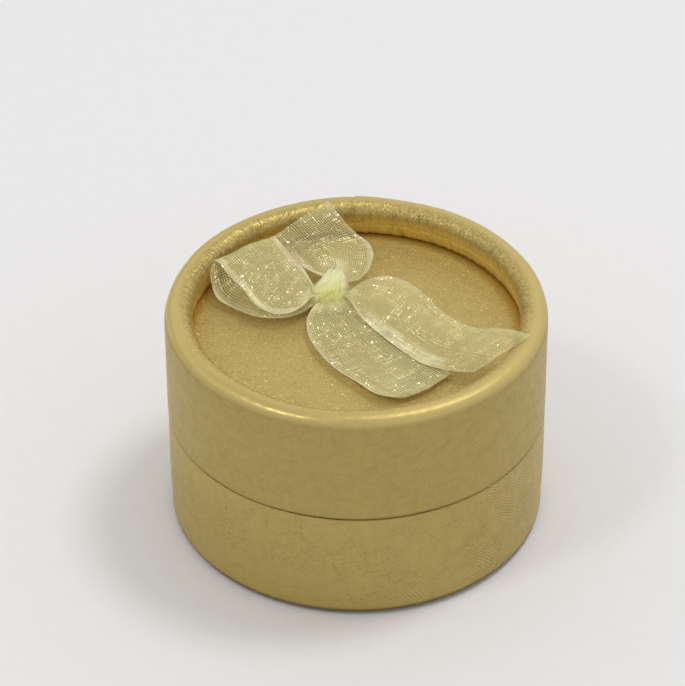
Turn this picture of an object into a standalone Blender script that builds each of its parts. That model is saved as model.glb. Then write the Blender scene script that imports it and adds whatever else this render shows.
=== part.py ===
"""Round two-piece gift box of paper-covered board with an organza bow on its lid.

The lid is a board tube whose top end is curled inwards into a round rim, with a
covered disc set below it. It drops over an inner neck that is glued into the base.
A foam pad with a ring slit, under a velour cover, sits in the base.
Metres, +Z up, the origin under the middle of the base.
"""

import math

import bmesh
import bpy
from mathutils import Vector

MM = 0.001
SEGMENTS = 40  # facets round every turned piece

# Outside
LID_R = 27.5  # outside radius of the covered lid
BASE_R = 27.4  # the base is a hair smaller, so the lid's edge stands proud
HEIGHT = 35.5  # to the top of the lid's rim
SEAM_Z = 18.1  # the line where the lid meets the base
SEAM_GAP = 0.25

# Board, paper and glue line
PAPER = 0.3
GLUE = 0.2
LID_BOARD_IN_R = 25.5
BASE_BOARD_IN_R = 25.4

# Curled rim of the lid
RIM_R = 2.0  # radius of the curl's outside, seen in section
RIM_INNER_TOP_R = LID_R - 2 * RIM_R
RIM_INNER_LOW_R = 24.15  # where the curl's inside face reaches the disc
DISC_TOP_Z = 30.4  # top of the covered disc, five millimetres below the rim
DISC_R = 25.2
DISC_BOARD = 1.15

# Bottom of the base
FOOT_FILLET = 0.8
UNDERSIDE_R = 25.9
UNDERSIDE_T = 0.25
WRAP_LOW_Z = 0.4
TURN_IN_R = 22.5
FLOOR_BOARD = 1.2

# Inner neck
NECK_R = 25.2
NECK_TOP_Z = 26.0
NECK_IN_R = 23.45
NECK_PAPER = 0.25
NECK_LOW_Z = 2.4

# Ring pad
PAD_R = 23.2
PAD_EDGE_Z = 20.9
PAD_CROWN = 0.6
VELOUR = 0.5
SLIT_LENGTH = 19.0
SLIT_WIDTH = 2.0
SLIT_DEPTH = 9.0

# Bow. Its selvages are laid out on a plan at PLAN_Z, seen from the front at a
# slant, and each point is lifted along that slant to its own height.
RIBBON_T = 0.3
PLAN_Z = 31.0
EYE = (-2.03, -439.0, 363.9)
KNOT = (-3.6, 7.4, 33.2)
KNOT_SIZE = (4.4, 3.8, 3.7)
GLUE_DOT_R = 2.1
GLUE_DOT_H = 0.6


# ---------------------------------------------------------------- scene set-up
for old in list(bpy.data.objects):
    bpy.data.objects.remove(old, do_unlink=True)

parts = bpy.data.collections.new("round_box")
bpy.context.scene.collection.children.link(parts)
cutters = bpy.data.collections.new("cutters")
bpy.context.scene.collection.children.link(cutters)
cutters.hide_render = True


def srgb(r, g, b):
    def lin(c):
        c /= 255.0
        return c / 12.92 if c <= 0.04045 else ((c + 0.055) / 1.055) ** 2.4

    return (lin(r), lin(g), lin(b), 1.0)


def material(name, color, roughness, metallic=0.0, alpha=1.0):
    mat = bpy.data.materials.new(name)
    mat.use_nodes = True
    shader = mat.node_tree.nodes["Principled BSDF"]
    shader.inputs["Base Color"].default_value = color
    shader.inputs["Roughness"].default_value = roughness
    shader.inputs["Metallic"].default_value = metallic
    shader.inputs["Alpha"].default_value = alpha
    mat.diffuse_color = color[:3] + (alpha,)
    return mat


GOLD = material("gold_embossed_paper", srgb(190, 163, 98), 0.42, 0.35)
GOLD_LID = material("gold_lid_paper", srgb(190, 163, 98), 0.42, 0.35)
GOLD_DISC = material("gold_disc_paper", srgb(196, 170, 104), 0.45, 0.3)
BASE_BOARD = material("base_tube_board", srgb(168, 158, 140), 0.9)
LID_BOARD = material("lid_tube_board", srgb(168, 158, 140), 0.9)
BASE_DISC_BOARD = material("base_disc_board", srgb(160, 150, 133), 0.9)
LID_DISC_BOARD = material("lid_disc_board", srgb(160, 150, 133), 0.9)
NECK_BOARD = material("neck_board", srgb(205, 197, 182), 0.9)
NECK_COVER = material("neck_cover_paper", srgb(188, 161, 97), 0.45, 0.3)
UNDERSIDE = material("underside_paper", srgb(190, 163, 98), 0.5, 0.25)
CEILING = material("ceiling_paper", srgb(240, 236, 226), 0.85)
FOAM = material("pad_foam", srgb(238, 234, 224), 0.95)
VELOUR_CLOTH = material("pad_velour", srgb(240, 232, 214), 0.95)
ORGANZA_KNOT = material("organza_knot", srgb(224, 222, 140), 0.6)
HOT_GLUE = material("hot_glue", srgb(228, 222, 200), 0.35)


def add(name, mesh, mat, collection=parts):
    obj = bpy.data.objects.new(name, mesh)
    if mat is not None:
        mesh.materials.append(mat)
    collection.objects.link(obj)
    return obj


# ------------------------------------------------------------- turned profiles
def arc(cr, cz, radius, start, end, steps):
    """Points (r, z) on an arc, angles in degrees from +r towards +z."""
    out = []
    for i in range(steps + 1):
        a = math.radians(start + (end - start) * i / steps)
        out.append((cr + radius * math.cos(a), cz + radius * math.sin(a)))
    return out


def inset(path, t):
    """The path moved by t to its right-hand side as it runs down at +r: into the material."""
    out = []
    for i, (r, z) in enumerate(path):
        normals = []
        for a, b in ((i - 1, i), (i, i + 1)):
            if a < 0 or b >= len(path):
                continue
            dr, dz = path[b][0] - path[a][0], path[b][1] - path[a][1]
            length = math.hypot(dr, dz)
            normals.append((-dz / length, dr / length))
        nr = sum(n[0] for n in normals) / len(normals)
        nz = sum(n[1] for n in normals) / len(normals)
        size2 = nr * nr + nz * nz
        out.append((r - t * nr / size2, z - t * nz / size2))
    return out


def shell(path, t):
    """A closed section: an outside path and the same path inset by its thickness."""
    return path + list(reversed(inset(path, t)))


def turned(name, profile, mat, closed=True, angle=35):
    """A profile in (r, z) millimetres, outer side running down, turned about Z."""
    mesh = bpy.data.meshes.new(name)
    verts = [(r * MM, 0.0, z * MM) for r, z in profile]
    edges = [(i, i + 1) for i in range(len(verts) - 1)]
    if closed:
        edges.append((len(verts) - 1, 0))
    mesh.from_pydata(verts, edges, [])
    obj = add(name, mesh, mat)
    screw = obj.modifiers.new("turn", "SCREW")
    screw.axis = "Z"
    screw.angle = 2 * math.pi
    screw.steps = SEGMENTS
    screw.render_steps = SEGMENTS
    screw.use_merge_vertices = True
    screw.merge_threshold = 0.00005
    screw.use_smooth_shade = True
    applied(obj, angle)
    return obj


def applied(obj, angle=35):
    """Freezes the modifiers into the mesh and shades it smooth between sharp edges."""
    bpy.context.view_layer.update()
    graph = bpy.context.evaluated_depsgraph_get()
    mesh = bpy.data.meshes.new_from_object(obj.evaluated_get(graph))
    obj.modifiers.clear()
    old = obj.data
    obj.data = mesh
    bpy.data.meshes.remove(old)
    mesh.shade_smooth()
    mesh.set_sharp_from_angle(angle=math.radians(angle))


# ----------------------------------------------------------------- base pieces
base_top = SEAM_Z - SEAM_GAP / 2
lid_low = SEAM_Z + SEAM_GAP / 2

# Paper round the base: turned over the board's top edge and in under its foot.
edge = 0.4
wrap = [(BASE_BOARD_IN_R + 0.15, base_top)]
wrap += arc(BASE_R - edge, base_top - edge, edge, 90, 0, 2)
wrap += arc(BASE_R - FOOT_FILLET, WRAP_LOW_Z + FOOT_FILLET, FOOT_FILLET, 0, -90, 3)
wrap += [(TURN_IN_R, WRAP_LOW_Z)]
turned("base_wrap", shell(wrap, PAPER), GOLD)

# Board tube of the base, its foot eased where the paper bends round it.
board_r = BASE_R - PAPER - GLUE
board_low = WRAP_LOW_Z + PAPER + GLUE
board_top = base_top - PAPER - GLUE
tube = [(BASE_BOARD_IN_R, board_top), (board_r, board_top)]
tube += arc(board_r - 0.4, board_low + 0.4, 0.4, 0, -90, 2)
tube += [(BASE_BOARD_IN_R, board_low)]
turned("base_tube", tube, BASE_BOARD)


def round_plate(name, radius, low, high, mat, bevel=0.0):
    """A flat round plate, from a cylinder."""
    bm = bmesh.new()
    bmesh.ops.create_cone(
        bm,
        cap_ends=True,
        cap_tris=False,
        segments=SEGMENTS,
        radius1=radius * MM,
        radius2=radius * MM,
        depth=(high - low) * MM,
    )
    bmesh.ops.translate(bm, vec=(0, 0, (high + low) / 2 * MM), verts=bm.verts)
    mesh = bpy.data.meshes.new(name)
    bm.to_mesh(mesh)
    bm.free()
    obj = add(name, mesh, mat)
    if bevel:
        mod = obj.modifiers.new("ease", "BEVEL")
        mod.width = bevel * MM
        mod.segments = 1
        mod.limit_method = "ANGLE"
        applied(obj)
    else:
        mesh.shade_smooth()
        mesh.set_sharp_from_angle(angle=math.radians(35))
    return obj


round_plate(
    "base_disc",
    BASE_BOARD_IN_R - GLUE,
    board_low,
    board_low + FLOOR_BOARD,
    BASE_DISC_BOARD,
)
round_plate("base_underside_paper", UNDERSIDE_R, 0.0, UNDERSIDE_T, UNDERSIDE)

# Neck: a thinner tube glued inside the base, covered where it shows.
neck = [(NECK_IN_R, NECK_LOW_Z + 10.0)]
neck += arc(NECK_IN_R + 0.35, NECK_TOP_Z - 0.35, 0.35, 180, 90, 1)
neck += arc(NECK_R - 0.35, NECK_TOP_Z - 0.35, 0.35, 90, 0, 1)
neck += [(NECK_R, NECK_LOW_Z)]
turned("neck_paper", shell(neck, NECK_PAPER), NECK_COVER)
n_out = NECK_R - NECK_PAPER - GLUE
n_in = NECK_IN_R + NECK_PAPER + GLUE
n_top = NECK_TOP_Z - NECK_PAPER - GLUE
turned(
    "neck_tube",
    [(n_in, n_top), (n_out, n_top), (n_out, NECK_LOW_Z), (n_in, NECK_LOW_Z)],
    NECK_BOARD,
)

# ------------------------------------------------------------------- ring pad
pad_low = NECK_LOW_Z + 0.1
cover_r = PAD_R - VELOUR - GLUE
crown_z = PAD_EDGE_Z + PAD_CROWN


def crowned(radius, edge_z, crown, ease):
    """Outside path of a pad's top, from the axis to its rounded shoulder."""
    steps = 3
    flat = radius - ease
    out = []
    for i in range(steps):
        r = flat * i / steps
        out.append((r, edge_z + crown * (1 - (r / flat) ** 2)))
    return out + arc(flat, edge_z - ease, ease, 90, 0, 2)


foam_top = crowned(cover_r, PAD_EDGE_Z - VELOUR - GLUE, PAD_CROWN, 0.8)
foam = turned(
    "foam_pad", foam_top + [(cover_r, pad_low), (0.0, pad_low)], FOAM, closed=False
)
cover_path = crowned(PAD_R, PAD_EDGE_Z, PAD_CROWN, 1.2) + [(PAD_R, 9.0)]
inner = inset(cover_path, VELOUR)
inner[0] = (0.0, inner[0][1])
velour = turned(
    "velour_cover", cover_path + list(reversed(inner)), VELOUR_CLOTH, closed=False
)


def slit_cutter(name, length, width, low, high):
    bm = bmesh.new()
    bmesh.ops.create_cube(bm, size=1.0)
    bmesh.ops.scale(
        bm, vec=(length * MM, width * MM, (high - low) * MM), verts=bm.verts
    )
    bmesh.ops.translate(bm, vec=(0, 0, (high + low) / 2 * MM), verts=bm.verts)
    mesh = bpy.data.meshes.new(name)
    bm.to_mesh(mesh)
    bm.free()
    obj = add(name, mesh, None, cutters)
    obj.hide_render = True
    obj.display_type = "WIRE"
    return obj


for pad, width in ((foam, SLIT_WIDTH + 0.4), (velour, SLIT_WIDTH)):
    cut = pad.modifiers.new("ring_slit", "BOOLEAN")
    cut.operation = "DIFFERENCE"
    cut.solver = "EXACT"
    cut.object = slit_cutter(
        pad.name + "_slit", SLIT_LENGTH, width, crown_z - SLIT_DEPTH, crown_z + 3
    )

# ------------------------------------------------------------------ lid pieces
rim_cr, rim_cz = LID_R - RIM_R, HEIGHT - RIM_R
curl_low = DISC_TOP_Z + 0.35
wrap = [(RIM_INNER_LOW_R, curl_low), (RIM_INNER_TOP_R + 0.08, rim_cz - 1.1)]
wrap += arc(rim_cr, rim_cz, RIM_R, 180, 0, 7)
wrap += arc(LID_R - edge, lid_low + edge, edge, 0, -90, 2)
wrap += [(LID_BOARD_IN_R + 0.15, lid_low)]
turned("lid_wrap", shell(wrap, PAPER), GOLD_LID)

off = PAPER + GLUE
tube = [
    (LID_BOARD_IN_R, curl_low + 0.25),
    (RIM_INNER_LOW_R + off + 0.05, curl_low + 0.25),
    (RIM_INNER_TOP_R + 0.08 + off, rim_cz - 1.1),
]
tube += arc(rim_cr, rim_cz, RIM_R - off, 180, 0, 7)
tube += [(LID_R - off, lid_low + off), (LID_BOARD_IN_R, lid_low + off)]
turned("lid_tube", tube, LID_BOARD)

disc_high = DISC_TOP_Z - PAPER - 0.15
disc_low = disc_high - DISC_BOARD
round_plate("lid_disc", DISC_R, disc_low, disc_high, LID_DISC_BOARD)
round_plate("lid_top_paper", DISC_R, DISC_TOP_Z - PAPER, DISC_TOP_Z, GOLD_DISC)
round_plate(
    "lid_ceiling_paper", DISC_R, disc_low - 0.15 - 0.25, disc_low - 0.15, CEILING
)


# -------------------------------------------------------------------------- bow
def lifted(x, y, z):
    """A point seen at (x, y) on the plan, moved along the line of sight to height z."""
    s = (z - PLAN_Z) / (EYE[2] - PLAN_Z)
    return Vector((x + s * (EYE[0] - x), y + s * (EYE[1] - y), z))


def smooth_line(points, count):
    """count points along a centripetal Catmull-Rom curve, evenly spaced by length."""
    p = [points[0] * 2 - points[1], *points, points[-1] * 2 - points[-2]]
    fine = []
    for i in range(1, len(p) - 2):
        a, b, c, d = p[i - 1], p[i], p[i + 1], p[i + 2]
        t0 = 0.0
        t1 = t0 + max((b - a).length, 1e-6) ** 0.5
        t2 = t1 + max((c - b).length, 1e-6) ** 0.5
        t3 = t2 + max((d - c).length, 1e-6) ** 0.5
        for k in range(12):
            t = t1 + (t2 - t1) * k / 12
            a1 = a * ((t1 - t) / (t1 - t0)) + b * ((t - t0) / (t1 - t0))
            a2 = b * ((t2 - t) / (t2 - t1)) + c * ((t - t1) / (t2 - t1))
            a3 = c * ((t3 - t) / (t3 - t2)) + d * ((t - t2) / (t3 - t2))
            b1 = a1 * ((t2 - t) / (t2 - t0)) + a2 * ((t - t0) / (t2 - t0))
            b2 = a2 * ((t3 - t) / (t3 - t1)) + a3 * ((t - t1) / (t3 - t1))
            fine.append(b1 * ((t2 - t) / (t2 - t1)) + b2 * ((t - t1) / (t2 - t1)))
    fine.append(p[-2])
    along = [0.0]
    for a, b in zip(fine, fine[1:]):
        along.append(along[-1] + (b - a).length)
    out, k = [], 0
    for i in range(count):
        want = along[-1] * i / (count - 1)
        while k < len(along) - 2 and along[k + 1] < want:
            k += 1
        span = max(along[k + 1] - along[k], 1e-9)
        out.append(fine[k].lerp(fine[k + 1], (want - along[k]) / span))
    return out


def ribbon(name, left, right, along, across, arch):
    """A strip of ribbon lofted between its two selvages, given as (x, y, z) on the plan.

    arch lifts its middle, most in the middle of its length."""
    sides = [smooth_line([lifted(*p) for p in side], along + 1) for side in (left, right)]
    bm = bmesh.new()
    bmesh.ops.create_grid(bm, x_segments=along, y_segments=across, size=0.5)
    for v in bm.verts:
        i = round((v.co.x + 0.5) * along)
        w = v.co.y + 0.5
        a, b = sides[0][i], sides[1][i]
        p = a.lerp(b, w)
        up = Vector((0, 0, 1)) * arch * 4 * w * (1 - w) * math.sin(math.pi * i / along)
        v.co = (p + up) * MM
    mesh = bpy.data.meshes.new(name)
    bm.to_mesh(mesh)
    bm.free()
    cloth = material(name.replace("bow", "organza"), srgb(226, 222, 168), 0.5, 0.0, 0.6)
    obj = add(name, mesh, cloth)
    solid = obj.modifiers.new("cloth", "SOLIDIFY")
    solid.thickness = RIBBON_T * MM
    solid.offset = 0.0
    solid.use_rim = True
    applied(obj, 60)
    return obj


# Left loop: out from the knot in a lower layer, folded at the rim, and back on top.
ribbon(
    "bow_left_loop",
    [
        (-6.6, 6.1, 31.9),
        (-9.1, 2.6, 31.5),
        (-11.9, 2.1, 31.5),
        (-14.8, 2.8, 31.6),
        (-17.6, 4.3, 31.8),
        (-20.3, 6.9, 32.1),
        (-21.3, 10.9, 32.9),
        (-21.0, 15.2, 34.2),
        (-20.9, 16.1, 34.6),
        (-20.3, 15.4, 34.9),
        (-18.4, 12.6, 34.9),
        (-16.6, 9.4, 34.6),
        (-15.1, 6.2, 34.0),
        (-13.4, 4.1, 33.4),
        (-11.4, 3.5, 33.0),
        (-9.2, 5.0, 32.9),
        (-6.7, 7.5, 33.0),
    ],
    [
        (-6.4, 9.0, 32.2),
        (-7.6, 11.4, 32.3),
        (-9.2, 14.0, 32.6),
        (-10.9, 16.8, 33.0),
        (-12.4, 19.8, 33.6),
        (-13.0, 21.4, 34.1),
        (-12.8, 21.9, 34.5),
        (-12.2, 21.3, 34.9),
        (-10.9, 19.1, 35.0),
        (-8.9, 15.7, 34.7),
        (-7.6, 13.1, 34.1),
        (-6.6, 10.6, 33.4),
    ],
    28,
    3,
    0.0,
)

# Back tail: up from the knot and over the rim to its cut end.
ribbon(
    "bow_back_tail",
    [
        (-4.6, 13.4, 33.4),
        (-6.3, 14.0, 33.2),
        (-7.8, 15.4, 33.2),
        (-9.9, 18.6, 33.4),
        (-11.2, 21.5, 33.8),
        (-11.9, 22.9, 34.2),
    ],
    [
        (-1.7, 12.9, 32.6),
        (0.6, 13.2, 32.2),
        (1.9, 15.4, 32.5),
        (2.4, 18.7, 33.4),
        (1.8, 21.2, 34.2),
        (0.6, 22.9, 34.8),
        (-0.7, 25.2, 35.6),
        (-2.3, 28.4, 36.1),
        (-4.2, 32.2, 36.3),
    ],
    16,
    4,
    0.3,
)

# Front loop: flat out towards the front right, folded, and back on top of itself.
ribbon(
    "bow_front_loop",
    [
        (-5.2, 6.0, 31.6),
        (-6.5, 3.4, 31.1),
        (-6.9, 0.6, 31.0),
        (-6.2, -3.3, 31.0),
        (-4.0, -7.1, 31.0),
        (-1.3, -10.6, 31.0),
        (1.6, -13.8, 31.0),
        (3.6, -15.6, 31.1),
        (5.1, -16.5, 31.4),
        (5.2, -16.5, 31.8),
        (3.6, -15.5, 32.0),
        (1.3, -13.7, 32.0),
        (-1.6, -10.6, 32.0),
        (-4.4, -7.0, 32.0),
        (-6.6, -3.1, 32.0),
        (-7.3, 0.9, 32.1),
        (-6.9, 3.7, 32.3),
        (-5.4, 6.2, 32.5),
    ],
    [
        (-2.1, 5.7, 31.6),
        (0.7, 3.0, 31.2),
        (3.2, 0.6, 31.1),
        (5.3, -2.6, 31.0),
        (7.5, -5.5, 31.0),
        (10.0, -8.0, 31.0),
        (12.2, -9.8, 31.0),
        (13.5, -10.6, 31.3),
        (13.8, -10.4, 31.7),
        (12.6, -9.4, 31.9),
        (10.3, -7.7, 31.9),
        (7.8, -5.2, 31.9),
        (5.6, -2.3, 32.0),
        (3.5, 0.9, 32.1),
        (1.0, 3.2, 32.3),
        (-1.8, 6.1, 32.5),
    ],
    28,
    3,
    0.0,
)

# Right tail: up over the front loop's edge and out, its slanted end on the rim.
ribbon(
    "bow_right_tail",
    [
        (-0.9, 9.2, 33.6),
        (0.4, 10.9, 33.8),
        (2.1, 12.2, 34.2),
        (4.2, 12.6, 34.5),
        (6.3, 12.1, 34.4),
        (8.1, 10.5, 34.0),
        (9.5, 8.4, 33.5),
        (10.9, 6.2, 33.1),
        (12.4, 3.7, 32.8),
        (14.1, 1.6, 32.8),
        (16.3, 0.1, 33.2),
        (19.5, -0.3, 34.6),
        (23.0, -1.2, 36.0),
        (24.9, -2.3, 36.3),
    ],
    [
        (-0.8, 7.9, 33.4),
        (0.5, 3.7, 33.2),
        (2.8, 0.8, 33.0),
        (4.9, -2.3, 32.8),
        (7.1, -5.2, 32.7),
        (9.6, -7.8, 32.7),
        (11.8, -9.6, 32.7),
        (13.7, -10.4, 32.8),
        (15.4, -10.6, 32.9),
        (16.9, -10.5, 33.0),
    ],
    22,
    4,
    0.2,
)

# Knot: a tight wrap of ribbon, pinched at its waist, from a coarse cage.
bm = bmesh.new()
bmesh.ops.create_cube(bm, size=1.0)
bmesh.ops.subdivide_edges(bm, edges=bm.edges[:], cuts=1, use_grid_fill=True)
for v in bm.verts:
    p = v.co.normalized() * 0.5
    pinch = 1.0 - 0.16 * (1.0 - min(1.0, abs(p.z) / 0.5))
    v.co = Vector(
        (
            (KNOT[0] + p.x * 1.26 * KNOT_SIZE[0] * pinch) * MM,
            (KNOT[1] + p.y * 1.26 * KNOT_SIZE[1] * pinch) * MM,
            (KNOT[2] + p.z * 1.26 * KNOT_SIZE[2]) * MM,
        )
    )
mesh = bpy.data.meshes.new("bow_knot")
bm.to_mesh(mesh)
bm.free()
knot = add("bow_knot", mesh, ORGANZA_KNOT)
sub = knot.modifiers.new("round", "SUBSURF")
sub.levels = 1
sub.render_levels = 1
applied(knot, 60)

# Glue dot that holds the knot down on the disc.
low = DISC_TOP_Z + 0.15
dot = [(0.0, low + GLUE_DOT_H), (GLUE_DOT_R * 0.6, low + GLUE_DOT_H * 0.9)]
dot += [(GLUE_DOT_R, low + GLUE_DOT_H * 0.35), (GLUE_DOT_R, low), (0.0, low)]
glue = turned("bow_glue_dot", dot, HOT_GLUE, closed=False)
for v in glue.data.vertices:
    v.co.x += KNOT[0] * MM
    v.co.y += KNOT[1] * MM
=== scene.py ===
"""Looks of a small round gift box: pearly embossed paper, a curled rim, a sheer ribbon bow
and a velour ring pad inside.

Shapes are worked out in millimetres and turned into metres when a mesh is made.
"""

import math

import bpy
import numpy as np
from mathutils import Matrix, Vector


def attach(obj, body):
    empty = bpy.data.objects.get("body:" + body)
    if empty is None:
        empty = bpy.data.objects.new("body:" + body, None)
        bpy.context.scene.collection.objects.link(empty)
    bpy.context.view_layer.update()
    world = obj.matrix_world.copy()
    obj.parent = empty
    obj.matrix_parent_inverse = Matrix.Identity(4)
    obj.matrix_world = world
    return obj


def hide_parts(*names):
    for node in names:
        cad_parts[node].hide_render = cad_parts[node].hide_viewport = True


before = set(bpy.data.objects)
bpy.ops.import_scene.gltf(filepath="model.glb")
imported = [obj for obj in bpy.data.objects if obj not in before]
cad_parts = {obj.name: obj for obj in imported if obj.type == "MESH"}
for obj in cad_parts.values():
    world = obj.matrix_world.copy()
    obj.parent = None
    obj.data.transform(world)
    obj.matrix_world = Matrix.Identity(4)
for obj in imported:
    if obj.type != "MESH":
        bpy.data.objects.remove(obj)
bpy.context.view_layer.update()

MM = 0.001
TAU = 2 * math.pi

# Sizes of the box, in millimetres, as in the CAD model
LID_R, BASE_R, HEIGHT = 27.5, 27.45, 35.5
SEAM_Z, SEAM_GAP = 17.92, 0.19
PAPER, GLUE, EDGE = 0.3, 0.2, 0.2
RIM_R = 2.0
RIM_CR, RIM_CZ = LID_R - RIM_R, HEIGHT - RIM_R
DISC_R, DISC_Z = 25.2, 30.4
NECK_R, NECK_IN_R, NECK_TOP, NECK_LOW = 25.2, 23.45, 26.0, 2.4
PAD_R, PAD_EDGE_Z, PAD_CROWN = 23.2, 20.9, 0.6
BASE_TOP, LID_LOW = SEAM_Z - SEAM_GAP / 2, SEAM_Z + SEAM_GAP / 2


# --------------------------------------------------------------------- camera
def look_from(place, elevation, roll):
    e, r = math.radians(elevation), math.radians(roll)
    back = Vector((0, -math.cos(e), math.sin(e)))
    right, up = Vector((1, 0, 0)), Vector((0, math.sin(e), math.cos(e)))
    x = right * math.cos(r) - up * math.sin(r)
    y = right * math.sin(r) + up * math.cos(r)
    matrix = Matrix((x, y, back)).transposed().to_4x4()
    matrix.translation = Vector(place)
    return matrix


camera_data = bpy.data.cameras.new("camera")
camera_data.lens = 3832 * 36 / 686
camera_data.sensor_width = 36
camera_data.clip_start, camera_data.clip_end = 0.02, 20
camera = bpy.data.objects.new("camera", camera_data)
camera.matrix_world = look_from((-0.0020320642, -0.43901505, 0.36389486), 37.4, 0.14)
bpy.context.scene.collection.objects.link(camera)
bpy.context.scene.camera = camera

scene = bpy.context.scene
scene.view_settings.view_transform = "Standard"
scene.view_settings.look = "None"
scene.view_settings.exposure = 0.0
scene.view_settings.gamma = 1.0
# The weave and the flecks are as fine as the picture's own grain: the denoiser is guided by
# the unsmoothed colours and normals, so that it leaves them in
scene.cycles.denoising_prefilter = "NONE"


# --------------------------------------------------------------------- lights
def lamp(name, azimuth, elevation, distance, size, power, colour=(1, 1, 1)):
    """A round soft light that looks at the box from a compass direction."""
    a, e = math.radians(azimuth), math.radians(elevation)
    way = Vector((math.cos(a) * math.cos(e), math.sin(a) * math.cos(e), math.sin(e)))
    data = bpy.data.lights.new(name, "AREA")
    data.shape, data.size = "DISK", size
    data.energy, data.color = power, colour
    obj = bpy.data.objects.new(name, data)
    obj.matrix_world = way.to_track_quat("Z", "Y").to_matrix().to_4x4()
    obj.matrix_world.translation = way * distance + Vector((0, 0, 0.02))
    scene.collection.objects.link(obj)
    return obj


lamp("key", 25, 70, 0.9, 0.22, 1.72)
lamp("second", 212, 56, 0.9, 0.16, 0.75)

# The room: an even soft dome, a little brighter in a band half way up
world = bpy.data.worlds.new("room")
world.use_nodes = True
tree = world.node_tree
sky = tree.nodes["Background"]
sky.inputs["Color"].default_value = (1.0, 1.0, 1.0, 1.0)
way = tree.nodes.new("ShaderNodeTexCoord")
part = tree.nodes.new("ShaderNodeSeparateXYZ")
tree.links.new(way.outputs["Generated"], part.inputs[0])
band = tree.nodes.new("ShaderNodeValToRGB")
for place, level in ((0.0, 0.0), (0.12, 0.1), (0.38, 1.0), (0.62, 1.0), (0.86, 0.0)):
    stop = band.color_ramp.elements.new(place) if place else band.color_ramp.elements[0]
    stop.position, stop.color = place, (level, level, level, 1.0)
band.color_ramp.elements[-1].position = 1.0
band.color_ramp.elements[-1].color = (0.0, 0.0, 0.0, 1.0)
tree.links.new(part.outputs[2], band.inputs[0])
depth = tree.nodes.new("ShaderNodeMath")
depth.operation = "MULTIPLY_ADD"
tree.links.new(part.outputs[1], depth.inputs[0])
depth.inputs[1].default_value, depth.inputs[2].default_value = 0.13, 0.24
level = tree.nodes.new("ShaderNodeMath")
level.operation = "MULTIPLY_ADD"
tree.links.new(band.outputs[0], level.inputs[0])
tree.links.new(depth.outputs[0], level.inputs[1])
level.inputs[2].default_value = 0.50
tree.links.new(level.outputs[0], sky.inputs["Strength"])
scene.world = world


# ------------------------------------------------------------------ materials
def linear(r, g, b):
    def lin(c):
        c /= 255.0
        return c / 12.92 if c <= 0.04045 else ((c + 0.055) / 1.055) ** 2.4

    return (lin(r), lin(g), lin(b), 1.0)


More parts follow.
